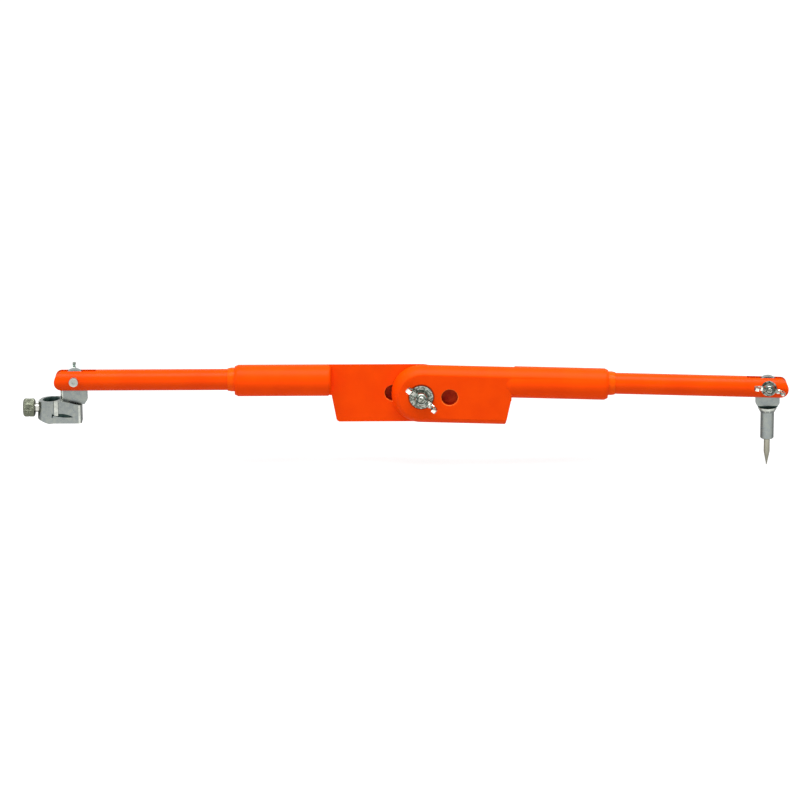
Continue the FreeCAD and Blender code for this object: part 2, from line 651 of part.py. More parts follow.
def cap_bolt(radius, head_radius, length):
    """Round-headed bolt with a socket. The shank runs up Z from the head's seat."""
    head = turned([
        (0, 0), (head_radius, 0), (head_radius, HOLDER_HEAD_EDGE - HOLDER_HEAD_HEIGHT),
        (head_radius - HOLDER_HEAD_EDGE, -HOLDER_HEAD_HEIGHT), (0, -HOLDER_HEAD_HEIGHT),
    ])
    socket = rod(HEAD_SOCKET_RADIUS, at(0, 0, -HOLDER_HEAD_HEIGHT), HEAD_SOCKET_DEPTH, Z)
    return head.fuse(rod(radius, HINGE, length, Z)).cut(socket)


def rear_washer():
    """Washer under the hinge bolt's head, with a square hole."""
    half = PIVOT_BOLT_RADIUS + SEAT_GAP
    hole = block(at(-half, -half, 0), at(half, half, PIVOT_WASHER_THICK))
    return rod(REAR_WASHER_RADIUS, HINGE, PIVOT_WASHER_THICK, Z).cut(hole)


# ---------------------------------------------------------------- places
def facing_front(shape, place, turn=0.0):
    """Stand a fastener on a face that looks along -Y, turned about its axis."""
    shape.rotate(HINGE, Z, turn)
    shape.rotate(HINGE, X, 90)
    shape.translate(place)
    return shape


def facing_rear(shape, place, turn=0.0):
    """Stand a fastener on a face that looks along +Y, turned about its axis."""
    shape.rotate(HINGE, Z, turn)
    shape.rotate(HINGE, X, -90)
    shape.translate(place)
    return shape


def to_rear_arm(shape):
    """From an arm along +X to the rear arm, along -X."""
    shape.rotate(HINGE, Z, 180)
    return shape


def to_front_arm(shape):
    """From an arm along +X to the front arm's droop."""
    shape.rotate(HINGE, Y, ARM_DROOP)
    return shape


POINT_BOLT = FreeCAD.Rotation(Y, ARM_DROOP).multVec(at(BOLT_ALONG, 0, BOLT_HEIGHT))
MARKER_BOLT = at(-BOLT_ALONG, 0, BOLT_HEIGHT)
POINT_DROP = FreeCAD.Rotation(Y, ARM_DROOP + POINT_LEAN).multVec(at(0, 0, -NEEDLE_POINT))
DRAWING_SURFACE = (POINT_BOLT + POINT_DROP).z
RIGHT_END = FreeCAD.Rotation(Y, ARM_DROOP).multVec(at(TUBE_END, 0, TUBE_AXIS)).x
LEFT_END = MARKER_BOLT.x - KNOB_END
FRONT_REACH = PLATE_FACE + PIVOT_WASHER_THICK + PIVOT_NUT_HEIGHT
REAR_REACH = TUBE_RADIUS + HOLDER_WASHER_THICK + MARKER_NUT_HEIGHT
ORIGIN = at((LEFT_END + RIGHT_END) / 2, (REAR_REACH - FRONT_REACH) / 2, DRAWING_SURFACE)


def swung(shape, bolt, angle):
    """Hang a holder's piece on its bolt, swung about Y by an angle."""
    shape.rotate(HINGE, Y, angle)
    shape.translate(bolt)
    return shape


def hinge_parts():
    """The two arms and what clamps them together."""
    front = at(0, -PLATE_FACE, 0)
    nut_seat = at(0, -PLATE_FACE - PIVOT_WASHER_THICK, 0)
    head_seat = PLATE_FACE + PIVOT_WASHER_THICK
    length = head_seat - nut_seat.y + PIVOT_NUT_HUB_HEIGHT + PIVOT_BOLT_SPARE
    hole = PIVOT_BOLT_RADIUS + RUNNING_GAP
    disc = tube(FRICTION_DISC_RADIUS, hole, at(0, -MATING_FACE, 0), FRICTION_DISC_THICK, Y)
    nut = wing_nut(
        PIVOT_BOLT_RADIUS, PIVOT_NUT_HUB, PIVOT_NUT_SPAN, PIVOT_NUT_HEIGHT, PIVOT_NUT_HUB_HEIGHT,
    )
    flat_washer = washer(PIVOT_WASHER_RADIUS, hole, PIVOT_WASHER_THICK)
    return {
        "rear_arm": to_rear_arm(arm()),
        "front_arm": to_front_arm(arm()),
        "friction_disc": disc,
        "pivot_bolt": facing_front(carriage_bolt(length), at(0, head_seat, 0)),
        "pivot_rear_washer": facing_rear(rear_washer(), at(0, PLATE_FACE, 0)),
        "pivot_washer": facing_front(flat_washer, front),
        "pivot_wing_nut": facing_front(nut, nut_seat, PIVOT_NUT_TURN),
    }


def telescope_parts(side, place, bolt_radius):
    """The bush, plug, tube and fork of one arm."""
    return {
        side + "_guide_bush": place(guide_bush()),
        side + "_tube_plug": place(tube_plug()),
        side + "_tube": place(outer_tube(bolt_radius)),
        side + "_fork_insert": place(fork_insert(bolt_radius)),
    }


def point_parts():
    """The point holder and its fasteners. The wing nut is at the front."""
    swing = ARM_DROOP + POINT_LEAN
    seat = POINT_BOLT - Y * TUBE_RADIUS
    nut_seat = seat - Y * HOLDER_WASHER_THICK
    length = TUBE_RADIUS - nut_seat.y + POINT_NUT_HUB_HEIGHT + HOLDER_BOLT_SPARE
    nut = wing_nut(
        POINT_BOLT_RADIUS, POINT_NUT_HUB, POINT_NUT_SPAN, POINT_NUT_HEIGHT, POINT_NUT_HUB_HEIGHT,
    )
    flat_washer = washer(POINT_WASHER_RADIUS, POINT_BOLT_RADIUS + RUNNING_GAP, HOLDER_WASHER_THICK)
    return {
        "point_holder": swung(point_holder(), POINT_BOLT, swing),
        "needle": swung(needle(), POINT_BOLT, swing),
        "point_holder_bolt": facing_front(
            cap_bolt(POINT_BOLT_RADIUS, POINT_HEAD_RADIUS, length), POINT_BOLT + Y * TUBE_RADIUS),
        "point_holder_washer": facing_front(flat_washer, seat),
        "point_holder_wing_nut": facing_front(nut, nut_seat, POINT_NUT_TURN),
    }


def marker_parts():
    """The marker holder, its clamp screw and its fasteners. The wing nut is at the rear."""
    seat = MARKER_BOLT + Y * TUBE_RADIUS
    nut_seat = seat + Y * HOLDER_WASHER_THICK
    length = nut_seat.y + TUBE_RADIUS + MARKER_NUT_HUB_HEIGHT + HOLDER_BOLT_SPARE
    nut = wing_nut(
        MARKER_BOLT_RADIUS, MARKER_NUT_HUB, MARKER_NUT_SPAN, MARKER_NUT_HEIGHT, MARKER_NUT_HUB_HEIGHT,
    )
    flat_washer = washer(MARKER_WASHER_RADIUS, MARKER_BOLT_RADIUS + RUNNING_GAP, HOLDER_WASHER_THICK)
    return {
        "marker_holder": swung(marker_holder(), MARKER_BOLT, 0),
        "clamp_screw": swung(clamp_screw(), MARKER_BOLT, 0),
        "clamp_knob": swung(clamp_knob(), MARKER_BOLT, 0),
        "pressure_pad": swung(pressure_pad(), MARKER_BOLT, 0),
        "marker_holder_bolt": facing_rear(
            cap_bolt(MARKER_BOLT_RADIUS, MARKER_HEAD_RADIUS, length), MARKER_BOLT - Y * TUBE_RADIUS),
        "marker_holder_washer": facing_rear(flat_washer, seat),
        "marker_holder_wing_nut": facing_rear(nut, nut_seat, MARKER_NUT_TURN),
    }


def build():
    """Every piece of the compass by name, in the part's own frame."""
    pieces = hinge_parts()
    pieces.update(telescope_parts("left", to_rear_arm, MARKER_BOLT_RADIUS))
    pieces.update(telescope_parts("right", to_front_arm, POINT_BOLT_RADIUS))
    pieces.update(point_parts())
    pieces.update(marker_parts())
    for shape in pieces.values():
        shape.translate(ORIGIN * -1)
    return pieces


os.makedirs("parts", exist_ok=True)
for name, shape in build().items():
    shape.exportStep("parts/" + name + ".step")
    print(name, len(shape.Solids), shape.isValid(), round(shape.Volume, 1))
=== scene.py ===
"""The looks of a beam compass: two telescopic arms on a hinge, a marker clamp and a steel point.

Sizes are in millimetres, and every mesh is laid in place in metres, in the frame of the CAD model.
"""

import json
import logging
import math
from dataclasses import dataclass, field, replace
from enum import Enum

import bmesh
import bpy
from bmesh.types import BMesh, BMFace, BMVert
from bpy.types import ID, Material, Node, NodeSocket, NodeTree, Object
from mathutils import Matrix, Vector

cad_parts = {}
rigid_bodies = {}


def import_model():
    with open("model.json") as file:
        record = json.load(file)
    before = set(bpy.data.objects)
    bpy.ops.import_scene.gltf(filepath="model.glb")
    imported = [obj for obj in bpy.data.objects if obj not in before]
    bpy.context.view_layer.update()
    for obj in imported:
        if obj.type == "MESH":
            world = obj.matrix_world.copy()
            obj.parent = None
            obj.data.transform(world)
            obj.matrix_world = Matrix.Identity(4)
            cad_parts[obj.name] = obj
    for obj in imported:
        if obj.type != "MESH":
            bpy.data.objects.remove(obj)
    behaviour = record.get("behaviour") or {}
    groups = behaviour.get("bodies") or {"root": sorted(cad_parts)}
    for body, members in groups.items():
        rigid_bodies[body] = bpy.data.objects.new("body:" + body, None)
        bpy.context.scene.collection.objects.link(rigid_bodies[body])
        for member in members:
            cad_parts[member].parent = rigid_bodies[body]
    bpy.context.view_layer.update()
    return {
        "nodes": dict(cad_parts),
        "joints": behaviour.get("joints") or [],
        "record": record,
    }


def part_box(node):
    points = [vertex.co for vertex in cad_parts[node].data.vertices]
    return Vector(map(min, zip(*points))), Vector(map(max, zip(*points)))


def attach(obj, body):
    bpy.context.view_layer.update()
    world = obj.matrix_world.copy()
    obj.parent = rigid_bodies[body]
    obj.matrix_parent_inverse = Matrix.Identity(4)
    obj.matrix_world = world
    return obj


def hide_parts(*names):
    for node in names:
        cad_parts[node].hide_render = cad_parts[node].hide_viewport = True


for leftover in list(bpy.data.objects):
    bpy.data.objects.remove(leftover)
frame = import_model()

MM = 0.001
MERGE = 0.001            # closer points are one point
NEAR = 0.05              # how far a face or a point may be from where it is looked for
FLATNESS = 0.3           # degrees between two triangles of one flat face
FOLD = 50.0              # degrees at which an edge is the shape's own, and not one between facets
FASTENER_FOLD = 40.0     # the same on a nut or a rear washer
RING_FOLD = 60.0         # the same on a turned piece
SHADED_FOLD = 38.0       # degrees at which an edge is shaded as an edge
SQUARE = 0.9             # a face's normal along an axis, when the face is square to it
SLANTED = (0.3, 0.95)    # and when the face slants across it
UPRIGHT = 0.1            # its normal's share along Z, when the face is upright
FACETS = 64              # round a turned piece
BOLT_FACETS = 48         # round a small bolt
THREAD_FACETS = 24       # in one turn of a thread
THREAD_DEPTH = 0.6       # of its pitch
WHITE = "#FFFFFF"
Span = tuple[float, float]     # a range, the (radius, height) of a corner, or another pair
log = logging.getLogger("beam_compass")


# ---- nodes and colours
def linear(code: str) -> tuple[float, float, float, float]:
    """Turn an sRGB hex colour into linear light.

    Args:
        code: the colour as "#RRGGBB".

    Returns:
        Red, green, blue and an alpha of one.
    """
    channels = [int(code[start:start + 2], 16) / 255 for start in (1, 3, 5)]
    lit = [c / 12.92 if c <= 0.04045 else ((c + 0.055) / 1.055) ** 2.4 for c in channels]
    return (lit[0], lit[1], lit[2], 1.0)


def add_node(tree: NodeTree, kind: str, inputs: dict | None = None, **settings) -> Node:
    """Add a shader node with its settings, its values and its links.

    Args:
        tree: the node tree that gets it.
        kind: the node's type, without the "ShaderNode" that all of them start with.
        inputs: for a socket's name or number, its value, or the output that it is linked from. A node
            stands for its first output.
        settings: the node's own properties.

    Returns:
        The new node.
    """
    node = tree.nodes.new("ShaderNode" + kind)
    for key, value in settings.items():
        setattr(node, key, value)
    for key, value in (inputs or {}).items():
        source = value.outputs[0] if isinstance(value, Node) else value
        if isinstance(source, NodeSocket):
            tree.links.new(source, node.inputs[key])
        else:
            node.inputs[key].default_value = source
    return node


def per_metre(size: float) -> float:
    """The scale of a texture whose cells are a size across."""
    return 1.0 / (size * MM)


# ---- finishes
@dataclass(frozen=True)
class Finish:
    """A surface: its colours, its shine, and the size and height of its grain."""

    name: str
    slot: str
    colour: str
    tint: str                                  # colour of the patches
    patch: float = 20.0                        # across a patch
    grain: float = 0.8                         # across a grain
    relief: float = 0.02                       # height of a grain
    shine: Span = (0.4, 0.5)                   # lowest and highest roughness
    metallic: float = 0.0
    ior: float = 1.5
    specular: float = 0.5                      # specular level
    shade_colour: str = "#000000"                      # colour of the painted shade in recesses
    shade_share: float = 0.0
    shade_reach: float = 3.0                    # how near another face counts as a recess
    ring: Span = (0.0, 0.0)                    # radii between which the painted shade fades, about the hinge's axis
    ring_share: float = 0.9                    # of the painted shade within it

    def pattern(self, tree: NodeTree, place: NodeSocket) -> tuple:
        """Draw the patches and the grain.

        Args:
            tree: the material's node tree.
            place: the object coordinates.

        Returns:
            What gives the patches, and what gives the grain's height.
        """
        noises = ((self.patch, 3.0, 0.55), (self.grain, 2.0, 0.5))
        return tuple(
            add_node(tree, "TexNoise", {
                "Vector": place, "Scale": per_metre(size), "Detail": detail, "Roughness": roughness,
            })
            for size, detail, roughness in noises
        )

    def painted_shades(self, tree: NodeTree, place: NodeSocket) -> list[Node]:
        """Find where shade is painted: in the recesses, and round the hinge's washer.

        Args:
            tree: the material's node tree.
            place: the object coordinates.

        Returns:
            What gives the painted shade's share in each.
        """
        shares = []
        # painted shade in the recesses, where ambient occlusion finds a face near
        if self.shade_share:
            open_sky = add_node(tree, "AmbientOcclusion", {"Distance": self.shade_reach * MM}, samples=8)
            shares.append(add_node(tree, "MapRange", {
                "Value": open_sky.outputs["AO"], "From Min": 0.25, "From Max": 0.85,
                "To Min": self.shade_share, "To Max": 0.0,
            }))
        # painted shadow in a ring round the hinge's washer
        if self.ring[1]:
            aside = add_node(tree, "VectorMath", {0: place, 1: HINGE * MM}, operation="SUBTRACT")
            flat = add_node(tree, "VectorMath", {0: aside, 1: (1.0, 0.0, 1.0)}, operation="MULTIPLY")
            away = add_node(tree, "VectorMath", {0: flat}, operation="LENGTH")
            shares.append(add_node(tree, "MapRange", {
                "Value": away.outputs["Value"], "From Min": self.ring[0] * MM,
                "From Max": self.ring[1] * MM, "To Min": self.ring_share, "To Max": 0.0,
            }))
        return shares

    def material(self) -> Material:
        """Make the material, or give the one that is already made.

        Returns:
            The material, named for the finish.
        """
        made = bpy.data.materials.get(self.name)
        if made:
            return made
        made = bpy.data.materials.new(self.name)
        made.diffuse_color = linear(self.colour)
        made.use_nodes = True
        tree = made.node_tree
        tree.nodes.clear()
        place = add_node(tree, "TexCoord").outputs["Object"]
        patches, height = self.pattern(tree, place)
        tinted = add_node(tree, "MapRange", {"Value": patches, "From Min": 0.35, "From Max": 0.65})
        # the patches' tint, then each painted shade over it
        layers = [(tinted, self.tint)] + [(shade_layer, self.shade_colour) for shade_layer in self.painted_shades(tree, place)]
        colour = linear(self.colour)
        for share, over in layers:
            mixed = add_node(tree, "Mix", {0: share, 6: colour, 7: linear(over)}, data_type="RGBA")
            colour = mixed.outputs[2]
        rough = add_node(tree, "MapRange", {
            "Value": patches, "From Min": 0.3, "From Max": 0.7,
            "To Min": self.shine[0], "To Max": self.shine[1],
        })
        bump = add_node(tree, "Bump", {"Height": height, "Distance": self.relief * MM})
        shader = add_node(tree, "BsdfPrincipled", {
            "Base Color": colour, "Roughness": rough, "Normal": bump, "Metallic": self.metallic,
            "IOR": self.ior, "Specular IOR Level": self.specular,
        })
        add_node(tree, "OutputMaterial", {"Surface": shader})
        return made


@dataclass(frozen=True)
class Cast(Finish):
    """A die-cast skin: clouds of two sizes, with a fine sandy grain over them."""

    metallic: float = 1.0
    cloud: float = 5.0       # across one of the softer clouds

    def pattern(self, tree: NodeTree, place: NodeSocket) -> tuple:
        """Draw clouds that softer ones thin out in places, and the grain. See Finish.pattern."""
        soft = add_node(tree, "TexNoise", {"Vector": place, "Scale": per_metre(self.cloud), "Detail": 1.0})
        clouds = add_node(tree, "TexNoise", {
            "Vector": place, "Scale": per_metre(self.patch), "Detail": 5.0, "Roughness": 0.6,
            "Distortion": 0.8,
        })
        grain = add_node(tree, "TexNoise", {
            "Vector": place, "Scale": per_metre(self.grain), "Detail": 3.0, "Roughness": 0.65,
        })
        thinned = add_node(tree, "Math", {0: soft, 1: clouds}, operation="MULTIPLY")
        return add_node(tree, "Math", {0: thinned, 1: 2.0}, operation="MULTIPLY"), grain


@dataclass(frozen=True)
class Plated(Finish):
    """A bright zinc plate: crystals of many tilts, so it glints in small spots."""

    metallic: float = 1.0

    def pattern(self, tree: NodeTree, place: NodeSocket) -> tuple:
        """Draw the crystals as cells of flat tone, and the grain. See Finish.pattern."""
        crystals = add_node(tree, "TexVoronoi", {"Vector": place, "Scale": per_metre(self.patch)})
        tone = add_node(tree, "SeparateColor", {"Color": crystals.outputs["Color"]})
        grain = add_node(tree, "TexNoise", {"Vector": place, "Scale": per_metre(self.grain), "Detail": 2.0})
        return tone, grain


@dataclass(frozen=True)
class Turned(Finish):
    """Metal from the lathe: fine rings that a tool left, square to the axis."""

    metallic: float = 1.0
    feed: float = 0.8        # from ring to ring
    lean: tuple[float, float, float] = (0.0, 0.0, 0.0)    # degrees that bring the axis onto Z

    def pattern(self, tree: NodeTree, place: NodeSocket) -> tuple:
        """Draw the rings, a little uneven, as tone and as height. See Finish.pattern."""
        upright = add_node(tree, "Mapping", {
            "Vector": place, "Rotation": [math.radians(angle) for angle in self.lean],
        })
        bands = math.pi / 10      # at a scale of one they are this far apart
        rings = add_node(tree, "TexWave", {
            "Vector": upright, "Scale": per_metre(self.feed) * bands,
            "Distortion": 0.6, "Detail": 2.0, "Detail Scale": 2.0,
        }, bands_direction="Z").outputs["Fac"]
        clouds = add_node(tree, "TexNoise", {"Vector": place, "Scale": per_metre(self.patch), "Detail": 3.0})
        tone = add_node(tree, "Mix", {"Factor": 0.5, 2: rings, 3: clouds}, data_type="FLOAT")
        return tone, rings


# ABS, injection moulded in a spark-eroded tool: satin, with a broad soft sheen and faint clouds, and a
# little painted shade in its recesses.
MOULDING = Finish(
    "abs_moulded_satin_orange", "arm_moulding", "#F94600", "#FF4C00", patch=34.0, grain=0.9,
    relief=0.03, shine=(0.34, 0.42), specular=0.05, shade_colour="#7A1A02", shade_share=0.15, shade_reach=2.0,
)
# The same ABS on the front half, with more painted shade in its recesses, and a ring of painted shadow round
# the hinge's washer.
WASHER_SHADE_MOULDING = replace(
    MOULDING, name="abs_moulded_washer_shade_orange", shade_colour="#6A1E04", shade_share=0.3, shade_reach=2.5,
    ring=(14.3, 16.2),
)
# The same ABS on a pocket's rim, lighter and shinier: a painted highlight.
RIM_HIGHLIGHT_MOULDING = Finish(
    "abs_moulded_painted_highlight_orange", "arm_moulding", "#FF6A1E", "#FF7428", patch=12.0, grain=0.7,
    relief=0.01, shine=(0.24, 0.3), specular=0.12,
)
# The same ABS from another tool, polished, so the collar is a shade lighter and shinier; with painted shade
# in its recesses.
BUSHING = Finish(
    "abs_moulded_polished_orange", "bush_moulding", "#FF5400", "#FF5A02", patch=18.0, grain=0.7,
    relief=0.01, shine=(0.26, 0.32), specular=0.06, shade_colour="#7A1A02", shade_share=0.3, shade_reach=2.0,
)
# Painted shade at the bottom of the pockets: dull, dark red-brown.
POCKET_SHADE_MOULDING = Finish(
    "abs_moulded_painted_shade", "arm_moulding", "#9A1602", "#BC3A12", patch=11.0, grain=1.2, relief=0.05,
    specular=0.06,
)
# Stoved enamel on a drawn steel tube: a hard gloss coat with a faint orange peel, and painted shade in its
# recesses.
ENAMEL = Finish(
    "enamel_stoved_gloss_orange", "painted_tube", "#FA4B00", "#F54500", patch=45.0, grain=1.8,
    relief=0.012, shine=(0.26, 0.32), specular=0.06, shade_colour="#7A1A02", shade_share=0.3, shade_reach=1.5,
)
# The tube's sawn and deburred end, where the steel shows dark under a film of oil.
SAWN = Finish(
    "steel_sawn_oiled", "painted_tube", "#4A3A34", "#6A4C40", patch=1.5, grain=0.4, relief=0.04,
    shine=(0.4, 0.6), metallic=1.0,
)
# Glass-filled nylon, moulded: nearly black, dull, with a coarse grain.
DARK_NYLON = Finish(
    "nylon_moulded_black", "dark_nylon", "#232425", "#2E2F31", patch=6.0, grain=0.5, relief=0.03,
    shine=(0.5, 0.62), ior=1.53,
)
# Natural nylon, moulded: milky, waxy and faintly yellow.
WHITE_NYLON = Finish(
    "nylon_moulded_natural", "white_nylon", "#E4E0D2", "#DAD5C4", patch=8.0, grain=0.6, relief=0.015,
    shine=(0.35, 0.45), ior=1.53,
)
# Zinc alloy, pressure die-cast and tumbled: satin cool grey, cloudy, with painted shade in its corners.
CASTING = Cast(
    "zinc_die_cast_tumbled", "die_cast_zinc", "#848A89", "#90958F", patch=9.0, grain=0.5,
    shine=(0.26, 0.34), shade_colour="#202426", shade_share=0.8, shade_reach=4.5,
)
# The same alloy, lighter and shinier, as a painted highlight on rims, ribs, corners and facets.
PAINTED_HIGHLIGHT_ZINC = Cast(
    "zinc_die_cast_painted_highlight", "die_cast_zinc", "#C8CBC2", "#AEB2AA", patch=3.0, grain=0.5, relief=0.01,
    shine=(0.2, 0.28),
)
# The same alloy, painted dark and greenish in the hollows, as painted shade.
PAINTED_SHADE_ZINC = Cast(
    "zinc_die_cast_painted_shade", "die_cast_zinc", "#172B28", "#2E433F", patch=5.0, grain=0.4,
    relief=0.03, shine=(0.4, 0.55), metallic=0.35, specular=0.25,
)
# Steel, bright zinc plated: blue-white, with spots that glint and others that stay dark, and painted shade
# in its recesses.
ZINC = Plated(
    "steel_zinc_plated_bright", "zinc_plated_steel", "#A9ADA3", "#62675E", patch=1.8, grain=1.1,
    relief=0.05, shine=(0.12, 0.3), shade_colour="#2C2D29", shade_share=0.8,
)
# The same plate on the wing nuts, painted nearly white as a painted highlight for their wings' glints.
PAINTED_GLINT_ZINC = Plated(
    "steel_zinc_plated_painted_glint", "zinc_plated_steel", "#ECEAE0", "#8E9188", patch=4.5, grain=1.4,
    relief=0.03, shine=(0.14, 0.26), shade_colour="#34352F", shade_share=0.4, shade_reach=1.2,
)
# The same plate, painted dark and mottled as a painted reflection of dark surroundings, and faintly green.
PAINTED_REFLECTION_ZINC = Plated(
    "steel_zinc_plated_painted_reflection", "zinc_plated_steel", "#98A097", "#4C5851", patch=2.8, grain=1.4,
    relief=0.03, shine=(0.14, 0.28), shade_colour="#23261F", shade_share=0.8, shade_reach=2.5,
)
# The same plate on a smooth head: even, with no painted shade in its socket.
CLEAN_ZINC = Finish(
    "steel_zinc_plated_clean", "zinc_plated_steel", "#B4B8B0", "#A8ACA6", patch=3.0, grain=1.1,
    shine=(0.2, 0.3), metallic=1.0,
)
# Tool steel, turned and hardened: a warm grey with the rings left in it.
POINT_STEEL = Turned(
    "steel_turned_hardened", "needle_steel", "#918F80", "#A9A797", patch=3.0, feed=0.7,
    shine=(0.28, 0.4), lean=(0.0, -0.6, 0.0),
)
# Steel, turned, knurled and nickel plated: the warm satin of nickel over the turning's rings, with painted
# shade in its recesses.
NICKEL = Turned(
    "steel_turned_nickel_plated", "nickel_knob", "#666A5B", "#7B7F70", patch=9.0, feed=1.7, relief=0.03,
    shine=(0.36, 0.46), lean=(0.0, 90.0, 0.0), shade_colour="#22231C", shade_share=0.85, shade_reach=2.5,
)
# Steel, ground and polished: the screw's neck, with painted shade in its recesses.
POLISHED = Finish(
    "steel_ground_polished", "nickel_knob", "#C6C6BE", "#B2B2AA", patch=3.0, grain=0.6, relief=0.005,
    shine=(0.06, 0.12), metallic=1.0, shade_colour="#22231C", shade_share=0.85, shade_reach=2.0,
)


# ---- making meshes
def sharp_edges(mesh: BMesh, least: float) -> list:
    """The edges that fold by more than an angle in degrees."""
    return [e for e in mesh.edges if e.is_manifold and e.calc_face_angle(0.0) > math.radians(least)]


def soften_edges(mesh: BMesh, edges: list, width: float, segments: int = 2, held_back: bool = True) -> None:
    """Round edges over.

    Args:
        mesh: the mesh that they are in.
        edges: the edges.
        width: how far the rounding reaches from each.
        segments: its steps.
        held_back: whether it stays within what a short edge beside it leaves.
    """
    bmesh.ops.bevel(
        mesh, geom=edges, offset=width, offset_type="OFFSET", segments=segments, profile=0.5,
        affect="EDGES", clamp_overlap=held_back, material=-1,
    )


def spin_outline(
    mesh: BMesh, outline: list[Span], steps: int, turns: int = 1, rise: float = 0.0,
    closed: bool = False,
) -> None:
    """Spin an outline about Z, in full turns.

    Args:
        mesh: the mesh that gets the surface.
        outline: its (radius, height) corners in order.
        steps: how many steps go round.
        turns: how often it goes round.
        rise: how far it climbs in a turn, or none for a ring that meets itself.
        closed: whether its last corner joins its first.
    """
    corners = [mesh.verts.new((radius, 0.0, height)) for radius, height in outline]
    following = corners[1:] + (corners[:1] if closed else [])
    edges = [mesh.edges.new(pair) for pair in zip(corners, following)]
    bmesh.ops.spin(
        mesh, geom=corners + edges, cent=(0, 0, 0), axis=(0, 0, 1), angle=math.tau * turns,
        dvec=(0, 0, rise / steps), steps=steps * turns, use_merge=not rise, use_duplicate=False,
    )


def lathe(outline: list[Span], facets: int = FACETS) -> BMesh:
    """Turn a piece about Z.

    Args:
        outline: the (radius, height) corners of its closed outline in order.
        facets: how many go round.

    Returns:
        The closed mesh, in millimetres.
    """
    mesh = bmesh.new()
    spin_outline(mesh, outline, facets, closed=True)
    bmesh.ops.remove_doubles(mesh, verts=mesh.verts, dist=MERGE)
    loose = [e for e in mesh.edges if not e.link_faces]
    bmesh.ops.delete(mesh, geom=loose, context="EDGES")
    bmesh.ops.recalc_face_normals(mesh, faces=mesh.faces)
    return mesh


def ring_edges(mesh: BMesh) -> list:
    """The sharp edges that run round a turned mesh, and not along it."""
    return [e for e in sharp_edges(mesh, RING_FOLD) if abs(e.verts[0].co.z - e.verts[1].co.z) < MERGE]


def thread_root(radius: float, pitch: float) -> float:
    """The radius at the bottom of a thread."""
    return radius - pitch * THREAD_DEPTH


def add_thread(mesh: BMesh, radius: float, pitch: float, start: float, end: float) -> None:
    """Wind a screw thread on a shank that stands along Z.

    Args:
        mesh: the mesh that gets it.
        radius: the thread's outside.
        pitch: its rise for each turn.
        start: the height at which it begins.
        end: the height that it doesn't pass.
    """
    root = thread_root(radius, pitch)
    ridge = [(root, 0.0), (radius, 0.42), (radius, 0.58), (root, 1.0)]     # radius, and share of the pitch
    turns = int((end - start) / pitch) - 1
    before = set(mesh.faces)
    outline = [(out, start + share * pitch) for out, share in ridge]
    spin_outline(mesh, outline, THREAD_FACETS, turns, pitch)
    points = dict.fromkeys(v for f in mesh.faces if f not in before for v in f.verts)
    bmesh.ops.remove_doubles(mesh, verts=list(points), dist=MERGE)
    bmesh.ops.holes_fill(mesh, edges=[e for e in mesh.edges if e.is_boundary], sides=0)
    bmesh.ops.recalc_face_normals(mesh, faces=[f for f in mesh.faces if f not in before])


def add_object(name: str, data: ID) -> Object:
    """Link a new object to the scene.

    Args:
        name: its name.
        data: its mesh, lamp or camera.

    Returns:
        The object, at the origin.
    """
    made = bpy.data.objects.new(name, data)
    bpy.context.scene.collection.objects.link(made)
    return made


def place_piece(
    mesh: BMesh, name: str, where: Matrix, finishes: list[Finish], body: str, stands_for: list[str],
) -> None:
    """Lay a mesh in place, dress it, and hand it to its body.

    Args:
        mesh: the mesh in millimetres, which is used up.
        name: the new object's name.
        where: from the mesh's own frame to the compass's.
        finishes: one for each material number in the mesh.
        body: the body that it rides on.
        stands_for: the CAD nodes that it replaces.
    """
    bmesh.ops.transform(mesh, matrix=Matrix.Scale(MM, 4) @ where, verts=mesh.verts)
    data = bpy.data.meshes.new(name)
    mesh.to_mesh(data)
    mesh.free()
    data.shade_smooth()
    data.set_sharp_from_angle(angle=math.radians(SHADED_FOLD))
    piece = add_object(name, data)
    for finish in finishes:
        data.materials.append(finish.material())
    weighted = piece.modifiers.new("flat_faces_stay_flat", "WEIGHTED_NORMAL")
    weighted.keep_sharp = True
    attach(piece, body)
    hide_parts(*stands_for)
    log.info("%s rides on %s and has %d faces", name, body, len(data.polygons))


def merged_copy(node: str) -> BMesh:
    """Copy a CAD node's mesh, with its points merged and its flat faces whole.

    Args:
        node: the node's name.

    Returns:
        The copy, in millimetres.
    """
    mesh = bmesh.new()
    mesh.from_mesh(frame["nodes"][node].data)
    bmesh.ops.transform(mesh, matrix=Matrix.Scale(1 / MM, 4), verts=mesh.verts)
    bmesh.ops.remove_doubles(mesh, verts=mesh.verts, dist=MERGE)
    bmesh.ops.dissolve_limit(
        mesh, angle_limit=math.radians(FLATNESS), verts=mesh.verts, edges=mesh.edges,
    )
    for face in mesh.faces:
        face.material_index = 0
    return mesh


def dress_node(node: str, finish: Finish) -> None:
    """Give a CAD node, whose shape is right as it is, its finish.

    Args:
        node: the node's name.
        finish: what it is made of.
    """
    data = frame["nodes"][node].data
    data.materials.clear()
    data.materials.append(finish.material())
    log.info("%s keeps its CAD shape, in %s", node, finish.name)


# ---- places
JOINTS = {joint["name"]: joint for joint in frame["joints"]}
MOUNTS = {mount["name"]: mount for mount in frame["record"]["mounts"]}


def joint_place(name: str) -> Vector:
    """Where a joint's axis passes, in millimetres."""
    return Vector(JOINTS[name]["pos_m"]) / MM


def turn_about(axis: str, degrees: float) -> Matrix:
    """A turn about an axis of the compass's frame."""
    return Matrix.Rotation(math.radians(degrees), 4, axis)


